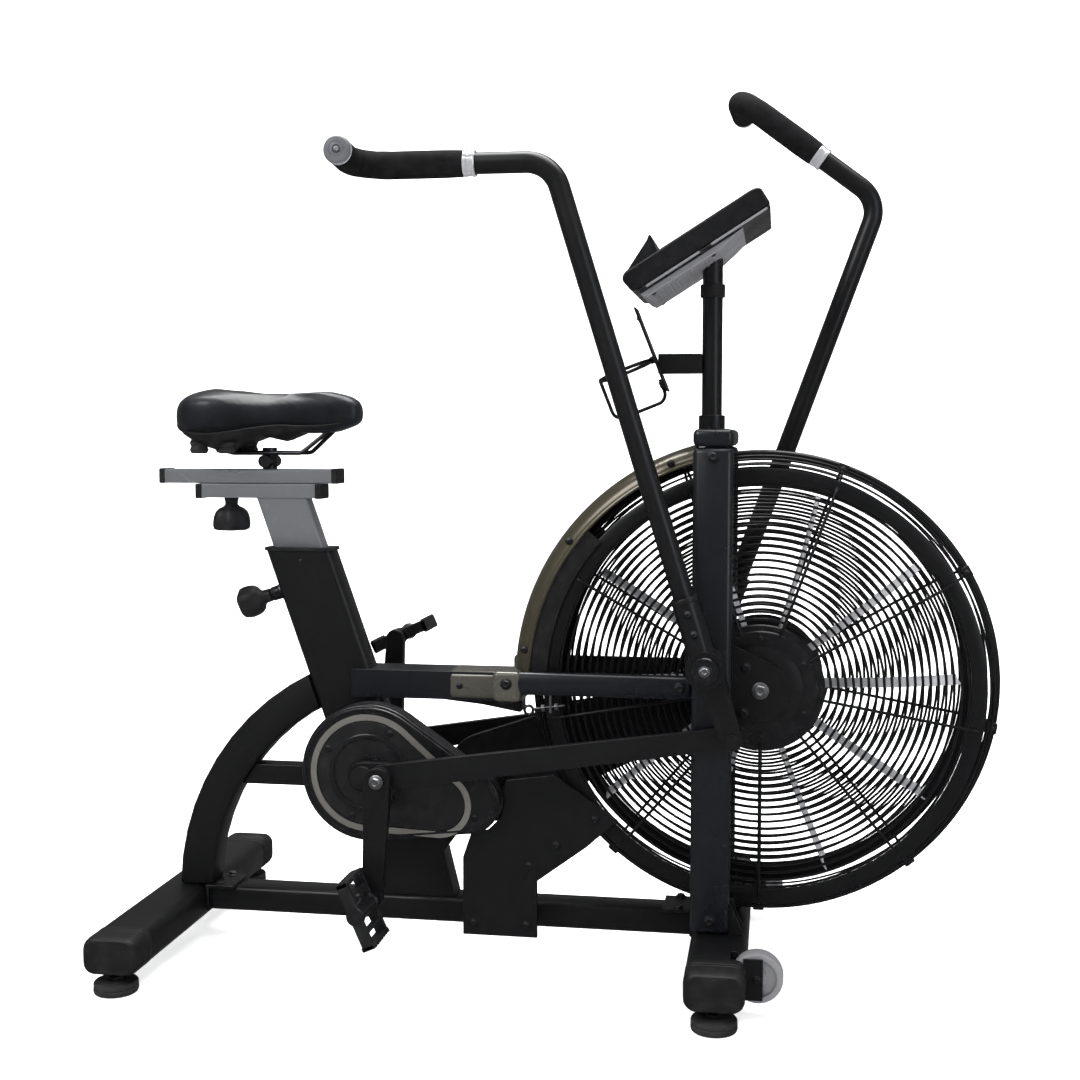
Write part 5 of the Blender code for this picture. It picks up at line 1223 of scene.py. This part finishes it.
def transport_wheels():
    half = [(0.0046, -0.0125), (0.01, -0.0125), (0.0108, -0.0115), (0.0108, -0.0085), (0.012, -0.0075),
        (0.024, -0.0075), (0.0252, -0.0085), (0.0252, -0.0118), (0.0262, -0.0125), (0.0312, -0.0125),
        (0.0334, -0.011), (0.034, -0.008)]
    tyre = half + [(r, -y) for r, y in half[::-1]] + half[:1]
    for word, side in SIDES:
        at = joint_at(f"{word}_wheel_spin")
        piece(f"wheel_{word}", shape(lathe, at, (0, 1, 0), tyre, 64), "wheel", f"wheel_{word}",
            replaces=(f"transport_wheel_{word}",))
        places = [((at.x, at.y + side * s * 0.0176, at.z), (0, side * s, 0)) for s in (1, -1)]
        bolts(f"wheel_nuts_{word}", places, 0.005, 0.0034, mat="bolt_dark")


# ---------- CAD nodes, light and camera ----------

def dress_cad_nodes():
    """Every CAD node takes a full material, the ones that stay in sight and the hidden ones."""
    slots = {s["node"]: s["material_slot"] for s in RECORD["subparts"]}
    for name, obj in NODES.items():
        obj.data.materials.clear()
        obj.data.materials.append(MAT[SLOT_LOOK[slots[name]]])


def stage():
    """A pale studio bowl: a flat floor that bends up into a wall all round."""
    flat, bend, high = 5.4, 1.6, 7.0
    profile = [(0, 0.0), (flat * 0.5, 0.0), (flat, 0.0)]
    profile += [(flat + bend * math.sin(math.radians(a)), bend * (1 - math.cos(math.radians(a))))
        for a in range(9, 91, 9)]
    profile.append((flat + bend, high))
    bm = bmesh.new()
    lathe(bm, (0, 0, 0), (0, 0, 1), profile, 96)
    mesh = bpy.data.meshes.new("studio_floor")
    bm.to_mesh(mesh)
    bm.free()
    mesh.shade_smooth()
    paper = Nodes("studio_paper", (0.93, 0.93, 0.93), 0.9, Emission_Color=(1, 1, 1, 1),
        Emission_Strength=0.42)
    paper.bump(paper.noise(300.0, 2.0), 0.05, 0.0005)
    mesh.materials.append(paper.material)
    floor = bpy.data.objects.new("studio_floor", mesh)
    bpy.context.scene.collection.objects.link(floor)
    floor.visible_glossy = False


def light(name, at, target, size, power, color=(1, 1, 1)):
    data = bpy.data.lights.new(name, "AREA")
    data.shape = "RECTANGLE"
    data.size, data.size_y = size
    data.energy = power
    data.color = color
    obj = bpy.data.objects.new(name, data)
    obj.location = at
    obj.rotation_euler = (Vector(target) - Vector(at)).to_track_quat("-Z", "Y").to_euler()
    bpy.context.scene.collection.objects.link(obj)


def lighting():
    light("key", (-1.9, -2.6, 3.1), (0.0, 0.0, 0.55), (1.8, 1.8), 95)
    light("fill", (2.9, -2.4, 1.5), (0.1, 0.0, 0.5), (1.4, 2.2), 26, (0.86, 0.92, 1.0))
    light("top", (0.2, 0.3, 3.9), (0.0, 0.1, 0.0), (3.4, 2.2), 190)
    light("back_wall", (0.0, 1.0, 5.4), (0.0, 4.6, 1.4), (6.0, 1.6), 420)
    world = bpy.data.worlds.new("studio")
    world.use_nodes = True
    world.node_tree.nodes["Background"].inputs["Color"].default_value = (1, 1, 1, 1)
    world.node_tree.nodes["Background"].inputs["Strength"].default_value = 0.13
    bpy.context.scene.world = world
    bpy.context.scene.view_settings.view_transform = "Standard"


def camera():
    data = bpy.data.cameras.new("camera")
    data.sensor_width = 36.0
    data.lens = 48.83
    obj = bpy.data.objects.new("camera", data)
    obj.location = (0.31725, -2.13, 0.77)
    obj.rotation_euler = (math.radians(86.0), 0, math.radians(9.3))
    bpy.context.scene.collection.objects.link(obj)
    bpy.context.scene.camera = obj


def build():
    dress_cad_nodes()
    for word, side in SIDES:
        cage_side(word, side)
        handle(word, side)
    cage_rim()
    cage_mounts()
    fan_wheel()
    fender()
    chain_guard()
    belt_case()
    linkage()
    seat_support()
    saddle()
    console()
    bottle_cage()
    levelling_feet()
    foot_caps()
    top_bars()
    tensioner()
    main_frame()
    transport_wheels()
    stage()
    lighting()
    camera()


build()
bpy.context.view_layer.update()
